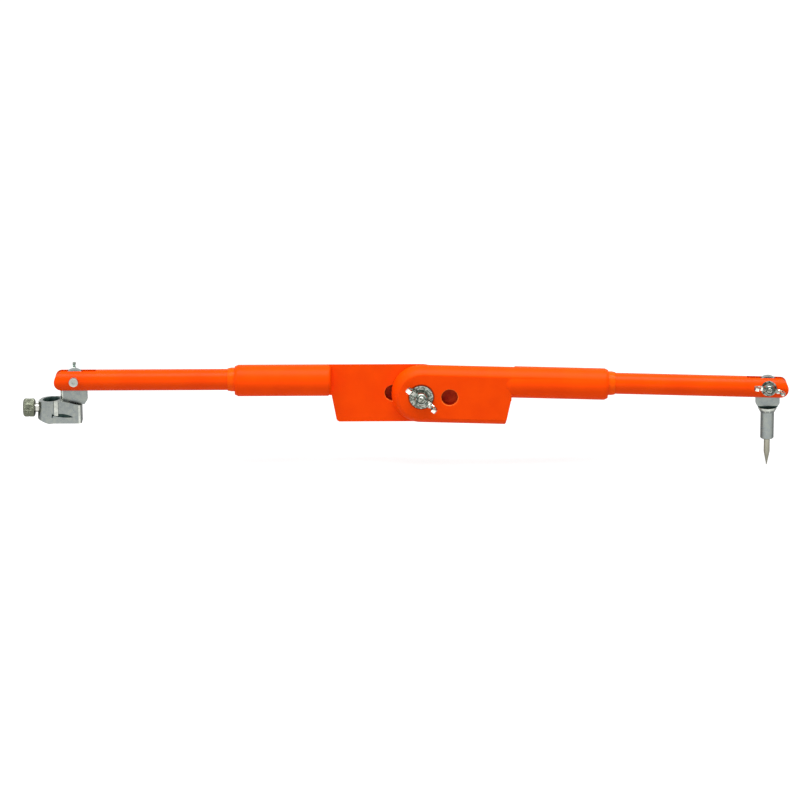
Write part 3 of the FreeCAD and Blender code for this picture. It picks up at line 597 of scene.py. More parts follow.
HINGE = joint_place("fold")
MARKER_BOLT = joint_place("marker_swing")
POINT_BOLT = joint_place("point_swing")
TUBE_ABOVE = joint_place("left_tube_turn").z - HINGE.z         # the tube's axis, above the hinge
SLEEVE_END = HINGE.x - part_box("rear_arm")[0].x / MM            # from the hinge
OUTWARD = Vector(JOINTS["right_tube_turn"]["axis"])
DROOP = math.atan2(-OUTWARD.z, OUTWARD.x)                      # of the front arm
DOWNWARD = Vector(MOUNTS["centre_point"]["axis"])
POINT_SWING = math.atan2(-DOWNWARD.x, -DOWNWARD.z)             # of the point, from the upright
IN_PLACE = Matrix.Identity(4)                                  # for a copy of a CAD mesh
AT_HINGE = Matrix.Translation(HINGE)
AT_MARKER = Matrix.Translation(MARKER_BOLT)
AT_POINT = Matrix.Translation(POINT_BOLT) @ Matrix.Rotation(DROOP, 4, "Y")
POINT_HANGS = Matrix.Translation(POINT_BOLT) @ Matrix.Rotation(POINT_SWING, 4, "Y")
UP_TO_FRONT = turn_about("X", 90.0)                            # from standing up to facing the front
UP_TO_REAR = turn_about("X", -90.0)


class Side(Enum):
    """The two arms: their name, their moulding and its body, and how each lies about the hinge."""

    LEFT = ("left", "rear_arm", "rear_half", Matrix.Rotation(math.pi, 4, "Z"))
    RIGHT = ("right", "front_arm", "front_half", Matrix.Rotation(DROOP, 4, "Y"))

    def __init__(self, word: str, moulding: str, body: str, lie: Matrix) -> None:
        """Take one side's values.

        Args:
            word: the side's name.
            moulding: the node of its moulding.
            body: the body that its moulding is in.
            lie: from lying along +X to lying as this arm does.
        """
        self.word = word
        self.moulding = moulding
        self.body = body
        self.place = AT_HINGE @ lie


# ---- fasteners
@dataclass(frozen=True)
class Washer:
    """A stamped washer, its edges rolled over by the punch."""

    radius: float
    hole: float
    thick: float
    roll: float = 0.35

    def build(self) -> BMesh:
        """Spin it, standing on the XY plane.

        Returns:
            The closed mesh, in millimetres.
        """
        mesh = lathe([
            (self.hole, 0.0), (self.radius, 0.0), (self.radius, self.thick), (self.hole, self.thick),
        ])
        soften_edges(mesh, ring_edges(mesh), self.roll)
        return mesh


@dataclass(frozen=True)
class CapBolt:
    """A bolt with a round head and a six-sided socket, threaded at its end."""

    radius: float
    head_radius: float
    head_height: float
    length: float
    thread_length: float
    pitch: float
    socket: float = 2.0      # from the axis to a corner
    depth: float = 1.2       # of the socket
    edge: float = 0.9        # rounding of the head
    bend: float = 0.3        # share of the rounding at its middle corner
    tip: float = 0.5         # chamfer of the thread's ends
    land: float = 0.5        # flat round the socket
    inset: float = 0.3       # of the thread, at both ends

    def build(self) -> BMesh:
        """Build it with its shank up Z from the head's seat.

        Returns:
            The closed mesh, in millimetres.
        """
        top = -self.head_height
        bend = self.bend * self.edge
        root = thread_root(self.radius, self.pitch)
        start = self.length - self.thread_length
        mesh = bmesh.new()
        spin_outline(mesh, [
            (self.socket + self.land, top), (self.head_radius - self.edge, top),
            (self.head_radius - bend, top + bend), (self.head_radius, top + self.edge),
            (self.head_radius, 0.0), (self.radius, 0.0), (self.radius, start), (root, start + self.tip),
            (root, self.length - self.tip), (root - self.tip, self.length), (0.0, self.length),
        ], BOLT_FACETS)
        bmesh.ops.remove_doubles(mesh, verts=mesh.verts, dist=MERGE)
        rim = [e for e in mesh.edges if e.is_boundary]
        hexagon = bmesh.ops.create_circle(
            mesh, cap_ends=False, segments=6, radius=self.socket, matrix=Matrix.Translation((0, 0, top)),
        )["verts"]
        mouth = list(dict.fromkeys(e for v in hexagon for e in v.link_edges))
        bmesh.ops.bridge_loops(mesh, edges=rim + mouth)
        wall = bmesh.ops.extrude_edge_only(mesh, edges=mouth)["geom"]
        floor = [v for v in wall if isinstance(v, BMVert)]
        bmesh.ops.translate(mesh, vec=(0, 0, self.depth), verts=floor)
        bmesh.ops.holes_fill(mesh, edges=[e for e in mesh.edges if e.is_boundary], sides=0)
        bmesh.ops.recalc_face_normals(mesh, faces=mesh.faces)
        add_thread(mesh, self.radius, self.pitch, start + self.inset, self.length - self.inset)
        return mesh


def round_over(
    node: str, body: str, edge: float, finishes: list[Finish], centre: Vector = HINGE, painted_dark_within: float = 0.0,
) -> None:
    """Round over a fastener's edges and dress it.

    Args:
        node: the CAD node.
        body: the body that it rides on.
        edge: the rounding.
        finishes: its finish, and a second one for its middle, which is painted dark as a reflection.
        centre: a point of its axis, which runs across the compass.
        painted_dark_within: the radius within which the second finish is used.
    """
    mesh = merged_copy(node)
    soften_edges(mesh, sharp_edges(mesh, FASTENER_FOLD), edge)
    for face in mesh.faces:
        away = face.calc_center_median() - centre
        # the middle gets the second finish, a painted dark reflection
        if math.hypot(away.x, away.z) < painted_dark_within:
            face.material_index = 1
    place_piece(mesh, node + "_rounded", IN_PLACE, finishes, body, [node])


# ---- the hinge
@dataclass
class Hinge:
    """What clamps the two plates together: bolt, washers, friction disc and wing nut."""

    plate_face: float = 16.0
    bolt_radius: float = 5.0
    head_radius: float = 11.5
    head_height: float = 5.5
    dome_steps: int = 8
    neck: float = 7.0              # length of the square under the head
    pitch: float = 1.5
    runout: float = 0.7
    inset: float = 0.4             # of the thread, at both ends
    tip: float = 0.8               # chamfer of the bolt's end
    nut_height: float = 10.5
    nut_hub: float = 9.5           # radius within which the nut is painted dark, as a painted reflection
    spare: float = 1.5             # bolt that stands out of the nut
    washer: Washer = Washer(14.0, 5.05, 2.0)
    edge: float = 0.35             # rounding of the nut and the rear washer

    def build(self) -> None:
        """Build and dress every piece of the hinge."""
        dress_node("friction_disc", DARK_NYLON)
        self.build_bolt()
        place_piece(
            self.washer.build(), "hinge_washer_rolled",
            AT_HINGE @ Matrix.Translation((0, -self.plate_face, 0)) @ UP_TO_FRONT,
            [ZINC], "pivot_washer_body", ["pivot_washer"],
        )
        round_over("pivot_rear_washer", "rear_half", self.edge, [ZINC])
        round_over("pivot_wing_nut", "pivot_nut_body", self.edge, [PAINTED_GLINT_ZINC, PAINTED_REFLECTION_ZINC], HINGE, self.nut_hub)

    def build_bolt(self) -> None:
        """Build the carriage bolt: domed head, square neck, and a thread that stands out of the nut."""
        seat = self.plate_face + self.washer.thick
        start = 2 * seat
        length = start + self.nut_height + self.spare
        root = thread_root(self.bolt_radius, self.pitch)
        sphere = (self.head_radius ** 2 + self.head_height ** 2) / (2 * self.head_height)
        dome = []
        for index in range(self.dome_steps + 1):
            height = -self.head_height * (1 - index / self.dome_steps)
            out = math.sqrt(max(sphere ** 2 - (sphere - self.head_height - height) ** 2, 0.0))
            dome.append((out, height))
        mesh = lathe(dome + [
            (self.bolt_radius, 0.0), (self.bolt_radius, start), (root, start + self.runout),
            (root, length - self.tip), (root - self.tip, length), (0.0, length),
        ])
        add_thread(mesh, self.bolt_radius, self.pitch, start + self.inset, length - self.inset)
        square = bmesh.ops.create_cube(mesh, size=1.0)["verts"]
        wide = self.bolt_radius * 2
        bmesh.ops.scale(mesh, vec=(wide, wide, self.neck), verts=square)
        bmesh.ops.translate(mesh, vec=(0, 0, self.neck / 2), verts=square)
        place_piece(
            mesh, "hinge_carriage_bolt", AT_HINGE @ Matrix.Translation((0, seat, 0)) @ UP_TO_FRONT,
            [ZINC], "rear_half", ["pivot_bolt"],
        )


# ---- an arm
@dataclass
class Arm:
    """One telescopic arm: moulding, bush, tube, and the plug and fork inside it."""

    side: Side
    moulding_edge: float = 0.35
    pocket_along: float = 33.3
    pocket_radius: float = 9.6
    pocket_chamfer: float = 0.8
    plate_area: float = 320.0      # a smaller face in a pocket isn't the plate's own
    tube_edge: float = 0.65
    sawn_facing: float = 0.25      # outward part of a normal on the tube's sawn end
    bush_outer: float = 14.48
    bush_inner: float = 12.55
    bush_length: float = 20.0
    bush_edge: float = 0.25
    collar: float = 8.5            # length of the bush that shows
    collar_step: float = 0.4
    nose: float = 4.3              # where the collar rounds down
    nose_wall: float = 0.7
    nose_bend: Span = (0.35, 0.55)     # its middle corner: how far in, and its share of the nose

    def build(self) -> None:
        """Build and dress every piece of the arm."""
        self.build_moulding()
        self.build_bush()
        self.build_tube()
        dress_node(self.side.word + "_tube_plug", WHITE_NYLON)
        dress_node(self.side.word + "_fork_insert", BUSHING)

    def build_moulding(self) -> None:
        """Round the moulding's edges over, paint shade in its pockets and a highlight round their rims."""
        mesh = merged_copy(self.side.moulding)
        centre = self.side.place @ Vector((self.pocket_along, 0, 0))
        soften_edges(mesh, sharp_edges(mesh, FOLD), self.moulding_edge)
        for face in mesh.faces:
            middle = face.calc_center_median()
            away = math.hypot(middle.x - centre.x, middle.z - centre.z) - self.pocket_radius
            # painted shade in the pockets, and a painted highlight on their rims' chamfer
            if away < NEAR and face.calc_area() < self.plate_area:
                face.material_index = 1
            elif away < self.pocket_chamfer and SLANTED[0] < abs(face.normal.y) < SLANTED[1]:
                face.material_index = 2
        place_piece(
            mesh, self.side.moulding + "_rounded", IN_PLACE,
            [MOULDING if self.side is Side.LEFT else WASHER_SHADE_MOULDING, POCKET_SHADE_MOULDING, RIM_HIGHLIGHT_MOULDING],
            self.side.body, [self.side.moulding],
        )

    def build_bush(self) -> None:
        """Turn the bush with its collar, which rounds down onto the tube."""
        collar = self.bush_outer - self.collar_step
        mesh = lathe([
            (self.bush_inner, -self.bush_length), (self.bush_outer, -self.bush_length),
            (self.bush_outer, 0.0), (collar, 0.0), (collar, self.collar - self.nose),
            (collar - self.nose_bend[0], self.collar - self.nose * self.nose_bend[1]),
            (self.bush_inner + self.nose_wall, self.collar), (self.bush_inner, self.collar),
        ])
        soften_edges(mesh, ring_edges(mesh), self.bush_edge)
        sleeve_mouth = self.side.place @ Matrix.Translation((SLEEVE_END, 0, TUBE_ABOVE))
        place_piece(
            mesh, self.side.word + "_bush_polished", sleeve_mouth @ turn_about("Y", 90.0), [BUSHING],
            self.side.body, [self.side.word + "_guide_bush"],
        )

    def build_tube(self) -> None:
        """Take the burr off the tube's edges, and leave its sawn end bare."""
        node = self.side.word + "_tube"
        mesh = merged_copy(node)
        soften_edges(mesh, sharp_edges(mesh, FOLD), self.tube_edge)
        inward = self.side.place.inverted()
        for face in mesh.faces:
            middle = inward @ face.calc_center_median()
            facing = inward.to_3x3() @ face.normal
            out = Vector((0.0, middle.y, middle.z - TUBE_ABOVE)).normalized()
            if facing.x > self.sawn_facing and facing.dot(out) < SLANTED[1]:
                face.material_index = 1
        place_piece(mesh, node + "_deburred", IN_PLACE, [ENAMEL, SAWN], node + "_body", [node])


# ---- the two ends
@dataclass
class HolderEnd:
    """What both ends share: a casting, what clamps it, and the hollow at its blade's foot."""

    word: str
    tube_body: str
    nut_behind: bool
    nut_height: float
    nut_hub: float                 # radius within which the nut is painted dark, as a painted reflection
    nut_finishes: tuple[Finish, ...]
    washer: Washer
    washer_finish: Finish
    bolt_radius: float
    bolt_pitch: float
    bolt_finish: Finish
    head_radius: float
    head_height: float = 5.6
    tube_radius: float = 12.5
    spare: float = 1.0             # bolt that stands out of the nut
    thread_spare: float = 2.0      # thread that reaches into the tube
    nut_edge: float = 0.3
    casting_edge: float = 0.4
    blade_half: float = 4.0
    bowl_radius: float = 9.2
    bowl: Span = (-29.5, -26.3)    # its floor and its rim, from the bolt
    painted_shade_top: float = -24.3        # the height up to which painted shade darkens the blade

    def build_holder(self, hangs: Matrix, level: Matrix) -> None:
        """Build the casting, and the nut, washer and bolt that clamp it in the tube's end.

        Args:
            hangs: from the bolt to the compass, hanging as the casting does.
            level: the same, level with the tube.
        """
        self.build_casting(hangs)
        round_over(
            self.word + "_holder_wing_nut", self.word + "_nut_body", self.nut_edge,
            list(self.nut_finishes), level.translation, self.nut_hub,
        )
        nut_side = self.tube_radius if self.nut_behind else -self.tube_radius
        turn = UP_TO_REAR if self.nut_behind else UP_TO_FRONT
        place_piece(
            self.washer.build(), self.word + "_washer_rolled",
            level @ Matrix.Translation((0, nut_side, 0)) @ turn,
            [self.washer_finish], self.word + "_washer_body", [self.word + "_holder_washer"],
        )
        beyond = self.nut_height + self.spare
        bolt = CapBolt(
            self.bolt_radius, self.head_radius, self.head_height,
            2 * self.tube_radius + self.washer.thick + beyond, beyond + self.thread_spare, self.bolt_pitch,
        )
        place_piece(
            bolt.build(), self.word + "_cap_bolt", level @ Matrix.Translation((0, -nut_side, 0)) @ turn,
            [self.bolt_finish], self.tube_body, [self.word + "_holder_bolt"],
        )

    def build_casting(self, hangs: Matrix) -> None:
        """Round over the casting's edges, and dress it with its painted highlights and its painted shade.

        Args:
            hangs: from the bolt to the compass, hanging as the casting does.
        """
        node = self.word + "_holder"
        mesh = merged_copy(node)
        inward = hangs.inverted()
        for chosen, width, segments in self.broad_edges():
            edges = [e for e in sharp_edges(mesh, FOLD) if chosen(*[inward @ v.co for v in e.verts])]
            soften_edges(mesh, edges, width, segments, False)
        soften_edges(mesh, sharp_edges(mesh, FOLD), self.casting_edge)
        # split the blade's face where its painted shade ends
        bmesh.ops.bisect_plane(
            mesh, geom=list(mesh.verts) + list(mesh.edges) + list(mesh.faces), dist=MERGE,
            plane_co=hangs @ Vector((0.0, 0.0, self.painted_shade_top)),
            plane_no=hangs.to_3x3() @ Vector((0.0, 0.0, 1.0)),
        )
        # painted shade in the hollows, and painted highlights on rims, ribs and facets
        for face in mesh.faces:
            middle = inward @ face.calc_center_median()
            if self.in_painted_shade(middle, face):
                face.material_index = 2
            elif self.in_painted_highlight(middle, face):
                face.material_index = 1
        place_piece(
            mesh, node + "_tumbled", IN_PLACE, [CASTING, PAINTED_HIGHLIGHT_ZINC, PAINTED_SHADE_ZINC], self.word + "_body", [node],
        )

    def broad_edges(self) -> list[tuple]:
        """The edges that are cut back further: a test of their two ends, a width and its steps."""
        return []

    def in_painted_shade(self, middle: Vector, face: BMFace) -> bool:
        """Tell a face in the bowl round the blade's foot.

        Args:
            middle: the face's middle, from the bolt.
            face: the face.

        Returns:
            Whether it gets painted shade.
        """
        within = math.hypot(middle.x, middle.y) < self.bowl_radius + NEAR
        beside = abs(middle.y) > self.blade_half + NEAR
        if within and beside and self.bowl[0] < middle.z < self.bowl[1]:
            return True
        return abs(face.normal.y) > SQUARE and self.bowl[0] < middle.z < self.painted_shade_top and not beside

    def in_painted_highlight(self, middle: Vector, face: BMFace) -> bool:
        """Tell a face that gets a painted highlight, by its middle from the bolt."""
        raise NotImplementedError


@dataclass
class MarkerEnd(HolderEnd):
    """The marker's clamp at the left end, with its screw and knob."""

    word: str = "marker"
    tube_body: str = "left_tube_body"
    nut_behind: bool = True
    nut_height: float = 7.2
    nut_hub: float = 0.0
    nut_finishes: tuple[Finish, ...] = (PAINTED_REFLECTION_ZINC,)
    washer: Washer = Washer(6.5, 3.05, 1.5, 0.25)
    washer_finish: Finish = ZINC
    bolt_radius: float = 3.0
    bolt_pitch: float = 1.0
    bolt_finish: Finish = CLEAN_ZINC
    head_radius: float = 5.5
    bowl: Span = (-32.8, -24.7)
    painted_shade_top: float = -32.8        # its blade gets no painted shade above the bowl
    blade_outer: float = 17.0
    blade_facet: float = 3.2       # ground on the blade's outer edges
    round_at: float = -31.0        # the axis of the clamp's round end
    round_radius: float = 12.6
    round_edge: float = 1.2
    round_gap: float = 0.3         # how far its rim's points may be from its circle
    rim_tilt: Span = (0.2, 0.97)   # upward part of the rounding's normals
    countersink: float = 1.5
    top: float = -27.5             # all of the clamp's top at its round end is above this
    corner: float = 4.2            # where the clamp's inner corners begin, inward of the bolt
    corner_top: float = -29.8
    corner_tilt: Span = (0.05, 0.7)  # inward part of their normals
    flat: float = 10.2             # half the clamp's width across its flat faces
    rib: Span = (-24.4, -19.6)
    rib_height: float = 0.2
    slot: Span = (-27.3, -1.9)
    slot_rise: Span = (-45.0, -40.2)
    slot_depth: float = 1.5
    slot_area: float = 90.0        # a smaller face there isn't the clamp's own
    socket_at: float = -28.2
    socket_radius: float = 8.8
    socket_gap: float = 0.1        # how far its rim's points may be from its circle
    screw_radius: float = 6.0
    screw_start: float = 38.2
    screw_end: float = 54.3
    screw_tip: float = 0.6         # chamfer of its inner end
    thread_inset: Span = (0.2, 0.5)    # at its inner end, and at the clamp's face
    clamp_face: float = 43.6
    neck: float = 5.3
    neck_foot: Span = (0.4, 0.3)   # how far in the thread ends and the neck begins
    neck_head: Span = (0.9, 0.5)   # how far from the knob the neck ends and the full screw begins
    pitch: float = 1.0
    knob_start: float = 47.5
    knob_length: float = 13.7
    knob_radius: float = 10.8
    knob_bore: Span = (6.02, 6.82)  # radius and depth
    knob_flutes: int = 36
    flute_depth: float = 0.5
    flute_share: float = 0.1       # half a flute's width, of the step from one to the next
    knurl_from: float = 0.97       # of the knob's radius

    def build(self) -> None:
        """Build and dress every piece of the marker's end."""
        self.build_holder(AT_MARKER, AT_MARKER)
        dress_node("pressure_pad", NICKEL)
        under = Vector((MARKER_BOLT.x, MARKER_BOLT.y, joint_place("clamp_screw_turn").z))
        outward = Matrix.Translation(under) @ turn_about("Y", -90.0)
        self.build_screw(outward)
        self.build_knob(outward)

    def in_painted_shade(self, middle: Vector, face: BMFace) -> bool:
        """Tell a face in the bowl, the socket or a slot. See HolderEnd.in_painted_shade."""
        if super().in_painted_shade(middle, face):
            return True
        # painted shade on the socket's wall and rim, and in the slots
        from_socket = math.hypot(middle.x - self.socket_at, middle.y) - self.socket_radius
        if from_socket < self.countersink and abs(face.normal.z) < SQUARE:
            return from_socket < NEAR or middle.z > self.top
        in_slot = self.slot[0] < middle.x < self.slot[1] and self.slot_rise[0] < middle.z < self.slot_rise[1]
        return in_slot and abs(middle.y) > self.flat - self.slot_depth and face.calc_area() < self.slot_area

    def in_painted_highlight(self, middle: Vector, face: BMFace) -> bool:
        """Tell a face of a rib, the round end's rim, an inner corner or a facet. See HolderEnd.in_painted_highlight."""
        # painted highlights on a rib, the round end's rim, an inner corner or a facet
        if self.rib[0] < middle.x < self.rib[1] and abs(middle.y) > self.flat + self.rib_height:
            return True
        if middle.z > self.top and middle.x < self.rib[0]:
            from_axis = math.hypot(middle.x - self.round_at, middle.y)
            at_rim = from_axis > self.round_radius - self.round_edge
            return at_rim and self.rim_tilt[0] < face.normal.z < self.rim_tilt[1]
        if middle.x > self.corner and self.corner_tilt[0] < face.normal.x < self.corner_tilt[1]:
            return abs(face.normal.z) < UPRIGHT and middle.z < self.corner_top
        from_edge = middle.x + self.blade_outer
        slants = SLANTED[0] < abs(face.normal.y) < SLANTED[1]
        return -NEAR < from_edge < self.blade_facet and slants and abs(middle.y) < self.blade_half

    def broad_edges(self) -> list[tuple]:
        """The blade's outer edges, the socket's rim and the round end's rim. See HolderEnd.broad_edges."""
        return [
            (self.is_blade_edge, self.blade_facet, 1),
            (self.is_socket_rim, self.countersink, 1),
            (self.is_round_rim, self.round_edge, 2),
        ]

    def is_blade_edge(self, one: Vector, other: Vector) -> bool:
        """Tell one of the blade's upright outer edges by its ends."""
        upright = abs(one.x - other.x) < NEAR and abs(one.y - other.y) < NEAR
        return upright and abs(one.x + self.blade_outer) < NEAR

    def is_socket_rim(self, *ends: Vector) -> bool:
        """Tell an edge of the socket's upper rim by its ends."""
        return self.is_rim(self.socket_at, self.socket_radius, self.socket_gap, *ends)

    def is_round_rim(self, *ends: Vector) -> bool:
        """Tell an edge of the round end's upper rim by its ends."""
        return self.is_rim(self.round_at, self.round_radius, self.round_gap, *ends)

    def is_rim(self, at: float, radius: float, gap: float, *ends: Vector) -> bool:
        """Tell an edge on the clamp's top, whose ends are within a gap of a circle about a place."""
        return all(abs(math.hypot(end.x - at, end.y) - radius) < gap and end.z > self.top for end in ends)

    def build_screw(self, where: Matrix) -> None:
        """Turn the clamp screw: a thread in the clamp, and a polished neck up to the knob.

        Args:
            where: from standing on the XY plane to the screw's axis, outward from the bolt.
        """
        root = thread_root(self.screw_radius, self.pitch)
        mesh = lathe([
            (0.0, self.screw_start), (root - self.screw_tip, self.screw_start),
            (root, self.screw_start + self.screw_tip), (root, self.clamp_face - self.neck_foot[0]),
            (self.neck, self.clamp_face - self.neck_foot[1]),
            (self.neck, self.knob_start - self.neck_head[0]),
            (self.screw_radius, self.knob_start - self.neck_head[1]),
            (self.screw_radius, self.screw_end), (0.0, self.screw_end),
        ])
        add_thread(
            mesh, self.screw_radius, self.pitch,
            self.screw_start + self.thread_inset[0], self.clamp_face - self.thread_inset[1],
        )
        place_piece(mesh, "clamp_screw_threaded", where, [POLISHED], "clamp_screw_body", ["clamp_screw"])

    def build_knob(self, where: Matrix) -> None:
        """Turn the knob with two bands, and press the knurl into them.

        Args:
            where: from standing on the XY plane to the screw's axis, outward from the bolt.
        """
        shares = [        # of the radius and of the length
            (0.78, 0.0), (0.93, 0.05), (1.0, 0.14), (1.0, 0.42), (0.98, 0.47), (0.98, 0.55),
            (1.0, 0.60), (1.0, 0.84), (0.94, 0.94), (0.80, 1.0), (0.55, 1.0), (0.50, 0.965), (0.0, 0.965),
        ]
        start, radius = self.knob_start, self.knob_radius
        outline = [(radius * out, start + self.knob_length * up) for out, up in shares]
        bore, seat = self.knob_bore
        outline += [(0.0, start + seat), (bore, start + seat), (bore, start)]
        mesh = lathe(outline, self.knob_flutes * 4)
        for point in mesh.verts:
            out = math.hypot(point.co.x, point.co.y)
            turn = math.atan2(point.co.y, point.co.x) / math.tau * self.knob_flutes
            if out >= radius * self.knurl_from and abs(turn - round(turn)) < self.flute_share:
                shrink = 1 - self.flute_depth / out
                point.co.x *= shrink
                point.co.y *= shrink
        place_piece(mesh, "clamp_knob_knurled", where, [NICKEL], "clamp_screw_body", ["clamp_knob"])


@dataclass
class PointEnd(HolderEnd):
    """The steel point at the right end, in its holder."""

    word: str = "point"
    tube_body: str = "right_tube_body"
    nut_behind: bool = False
    nut_height: float = 8.7
    nut_hub: float = 8.0
    nut_finishes: tuple[Finish, ...] = (PAINTED_GLINT_ZINC, PAINTED_REFLECTION_ZINC)
    washer: Washer = Washer(9.3, 4.05, 1.5, 0.25)
    washer_finish: Finish = PAINTED_REFLECTION_ZINC
    bolt_radius: float = 4.0
    bolt_pitch: float = 1.25
    bolt_finish: Finish = ZINC
    head_radius: float = 6.5
    barrel_end: float = 64.6
    needle_radius: float = 3.6
    shoulder_edge: Span = (0.2, 0.3)       # how far in and how far along
    seat_radius: float = 3.0
    seat: float = 20.0             # length held in the barrel
    shank: float = 16.5
    cone: float = 16.6
    swell: tuple = ((0.66, 0.38), (0.31, 0.75))  # on the cone: shares of the radius and the length
    tip_radius: float = 0.35
    collar: Span = (-30.2, -26.0)  # the foot and the rim of its painted highlight
    collar_radius: float = 8.6     # outside which it gets the painted highlight

    def build(self) -> None:
        """Build and dress every piece of the point's end."""
        self.build_holder(POINT_HANGS, AT_POINT)
        self.build_needle()

    def in_painted_highlight(self, middle: Vector, face: BMFace) -> bool:
        """Tell a face round the collar. See HolderEnd.in_painted_highlight."""
        # the collar's band gets a painted highlight
        around = math.hypot(middle.x, middle.y) > self.collar_radius
        return around and self.collar[0] < middle.z < self.collar[1]

    def build_needle(self) -> None:
        """Turn the needle: held end, shoulder, shank, and a cone that swells a little to its tip."""
        shoulder = -self.barrel_end
        neck = shoulder - self.shank
        tip = neck - self.cone
        cone = [(self.needle_radius * out, neck - self.cone * down) for out, down in self.swell]
        mesh = lathe([
            (0.0, shoulder + self.seat), (self.seat_radius, shoulder + self.seat),
            (self.seat_radius, shoulder), (self.needle_radius - self.shoulder_edge[0], shoulder),
            (self.needle_radius, shoulder - self.shoulder_edge[1]), (self.needle_radius, neck), *cone,
            (self.tip_radius, tip), (0.0, tip),
        ])
        place_piece(mesh, "needle_turned", POINT_HANGS, [POINT_STEEL], "point_body", ["needle"])


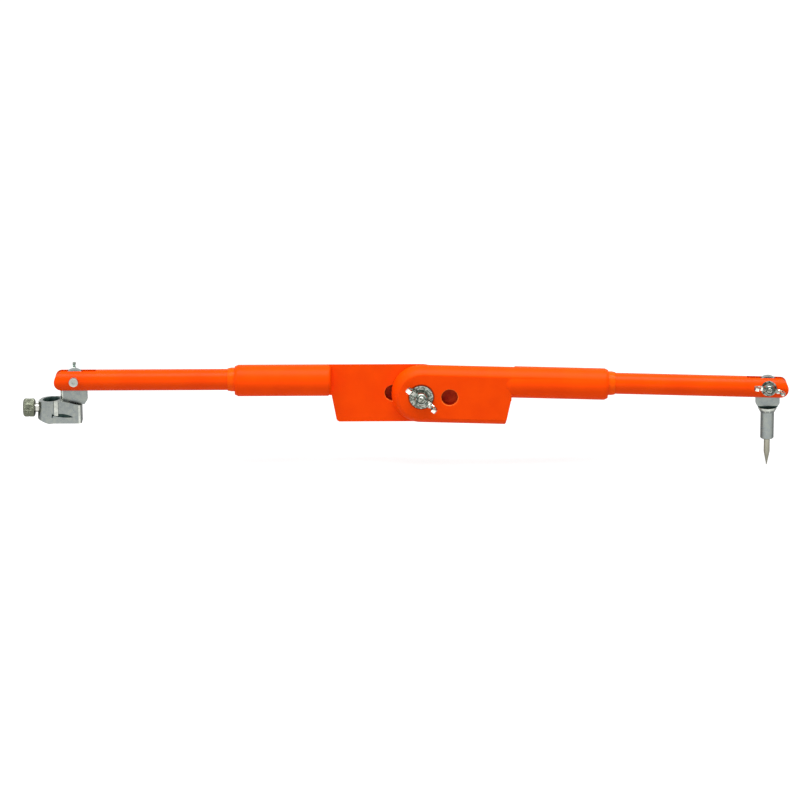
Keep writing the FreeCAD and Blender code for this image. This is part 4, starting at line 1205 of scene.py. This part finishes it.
# ---- the studio
@dataclass
class Studio:
    """A pale floor, soft lamps, a white surround and the camera. Its sizes are in metres."""

    target: Vector = field(default_factory=lambda: (HINGE + Vector((-25.0, 0.0, -8.5))) * MM)
    distance: float = 4.0
    elevation: float = 17.0        # degrees
    roll: float = -0.25            # degrees
    sensor: float = 36.0
    width_seen: float = 0.9427     # across the camera's view, at the target
    ambient: float = 0.3
    floor_size: float = 12.0
    floor_drop: float = 0.00005    # under the origin, so that the point's tip doesn't touch it
    floor_fade: Span = (0.3, 1.6)  # from the compass, where its white grows
    floor_shown: Span = (0.76, 1.0)  # near and far, of its white that no lamp changes
    # what reflections see of its glow, a painted reflection that is brightest just before the compass and
    # dark behind it: from y, to y, and how bright
    floor_painted_reflection: tuple = ((-0.26, -0.12, 0.66, 1.25), (-0.12, 0.04, 1.25, 0.06))

    def build(self) -> None:
        """Set up everything that isn't part of the compass."""
        bpy.context.scene.view_settings.view_transform = "Standard"
        self.build_surround()
        self.build_floor()
        self.add_lamp("overhead_softbox", (0.1, -0.35, 1.7), (2.4, 0.9), 52.0)
        self.add_lamp("front_softbox", (-0.3, -2.6, 0.3), (2.2, 0.6), 4.0)
        self.add_lamp("left_softbox", (-1.9, -1.5, 1.1), (0.4, 0.9), 6.0)
        self.build_camera()

    def seen(self, tree: NodeTree) -> Node:
        """Tell the rays that show the surround from those that light the compass.

        Args:
            tree: the floor's or the world's node tree.

        Returns:
            What gives one for camera, glossy and transmission rays.
        """
        path = add_node(tree, "LightPath").outputs
        first = add_node(tree, "Math", {
            0: path["Is Camera Ray"], 1: path["Is Glossy Ray"],
        }, operation="MAXIMUM")
        return add_node(tree, "Math", {0: first, 1: path["Is Transmission Ray"]}, operation="MAXIMUM")

    def build_surround(self) -> None:
        """Make the world white to look at, and softer as a light."""
        world = bpy.data.worlds.new("white_surround")
        bpy.context.scene.world = world
        world.use_nodes = True
        tree = world.node_tree
        tree.nodes.clear()
        soft, white = [
            add_node(tree, "Background", {"Color": linear(WHITE), "Strength": strength})
            for strength in (self.ambient, 1.0)
        ]
        both = add_node(tree, "MixShader", {0: self.seen(tree), 1: soft, 2: white})
        add_node(tree, "OutputWorld", {"Surface": both})

    def build_floor(self) -> None:
        """Lay the floor, white to look at, with the compass's soft shadow kept, and a glow that only
        reflections see, which paints the metal's reflections.
        """
        mesh = bmesh.new()
        bmesh.ops.create_grid(mesh, x_segments=1, y_segments=1, size=self.floor_size / 2)
        bmesh.ops.translate(mesh, vec=(0, 0, -self.floor_drop), verts=mesh.verts)
        data = bpy.data.meshes.new("floor")
        mesh.to_mesh(data)
        mesh.free()
        floor = add_object("floor", data)
        material = bpy.data.materials.new("paper_matt_white")
        material.use_nodes = True
        tree = material.node_tree
        tree.nodes.clear()
        paper = add_node(tree, "BsdfDiffuse", {"Color": linear("#B8B8B6")})
        faint = add_node(tree, "BsdfDiffuse", {"Color": linear("#959595")})
        place = add_node(tree, "TexCoord").outputs["Object"]
        away = add_node(tree, "VectorMath", {0: place}, operation="LENGTH")
        fade = add_node(tree, "MapRange", {
            "Value": away.outputs["Value"], "From Min": self.floor_fade[0], "From Max": self.floor_fade[1],
            "To Min": self.floor_shown[0], "To Max": self.floor_shown[1],
        })
        # a painted reflection: reflections see a bright strip just before the compass, and a dark floor
        # behind it
        across = add_node(tree, "SeparateXYZ", {"Vector": place}).outputs["Y"]
        halves = [
            add_node(tree, "MapRange", {
                "Value": across, "From Min": near, "From Max": far, "To Min": low, "To Max": high,
            })
            for near, far, low, high in self.floor_painted_reflection
        ]
        band = add_node(tree, "Math", {0: halves[0], 1: halves[1]}, operation="MINIMUM")
        path = add_node(tree, "LightPath")
        dims = add_node(tree, "Mix", {0: path.outputs["Is Glossy Ray"], 2: fade, 3: band}, data_type="FLOAT")
        glow = add_node(tree, "Emission", {"Strength": dims})
        shown = add_node(tree, "AddShader", {0: faint, 1: glow})
        both = add_node(tree, "MixShader", {0: self.seen(tree), 1: paper, 2: shown})
        add_node(tree, "OutputMaterial", {"Surface": both})
        data.materials.append(material)

    def add_lamp(self, name: str, where: tuple, size: Span, power: float) -> None:
        """Hang a soft box that looks at the compass.

        Args:
            name: the lamp's name.
            where: its place.
            size: its width and height.
            power: in watts.
        """
        data = bpy.data.lights.new(name, "AREA")
        data.shape = "RECTANGLE"
        data.size, data.size_y = size
        data.energy = power
        lamp = add_object(name, data)
        lamp.location = where
        lamp.rotation_euler = (self.target - lamp.location).to_track_quat("-Z", "Y").to_euler()

    def build_camera(self) -> None:
        """Aim the camera from the front, a little above."""
        data = bpy.data.cameras.new("camera")
        data.sensor_width = self.sensor
        data.lens = self.sensor * self.distance / self.width_seen
        camera = add_object("camera", data)
        up = math.radians(self.elevation)
        camera.location = self.target + self.distance * Vector((0.0, -math.cos(up), math.sin(up)))
        aim = turn_about("X", 90.0 - self.elevation) @ turn_about("Z", self.roll)
        camera.rotation_euler = aim.to_euler()
        bpy.context.scene.camera = camera


def main() -> None:
    """Build the studio and every sub-assembly in order."""
    logging.basicConfig(level=logging.INFO, format="%(name)s: %(message)s")
    Studio().build()
    for side in Side:
        Arm(side).build()
    Hinge().build()
    MarkerEnd().build()
    PointEnd().build()


if __name__ == "__main__":
    main()
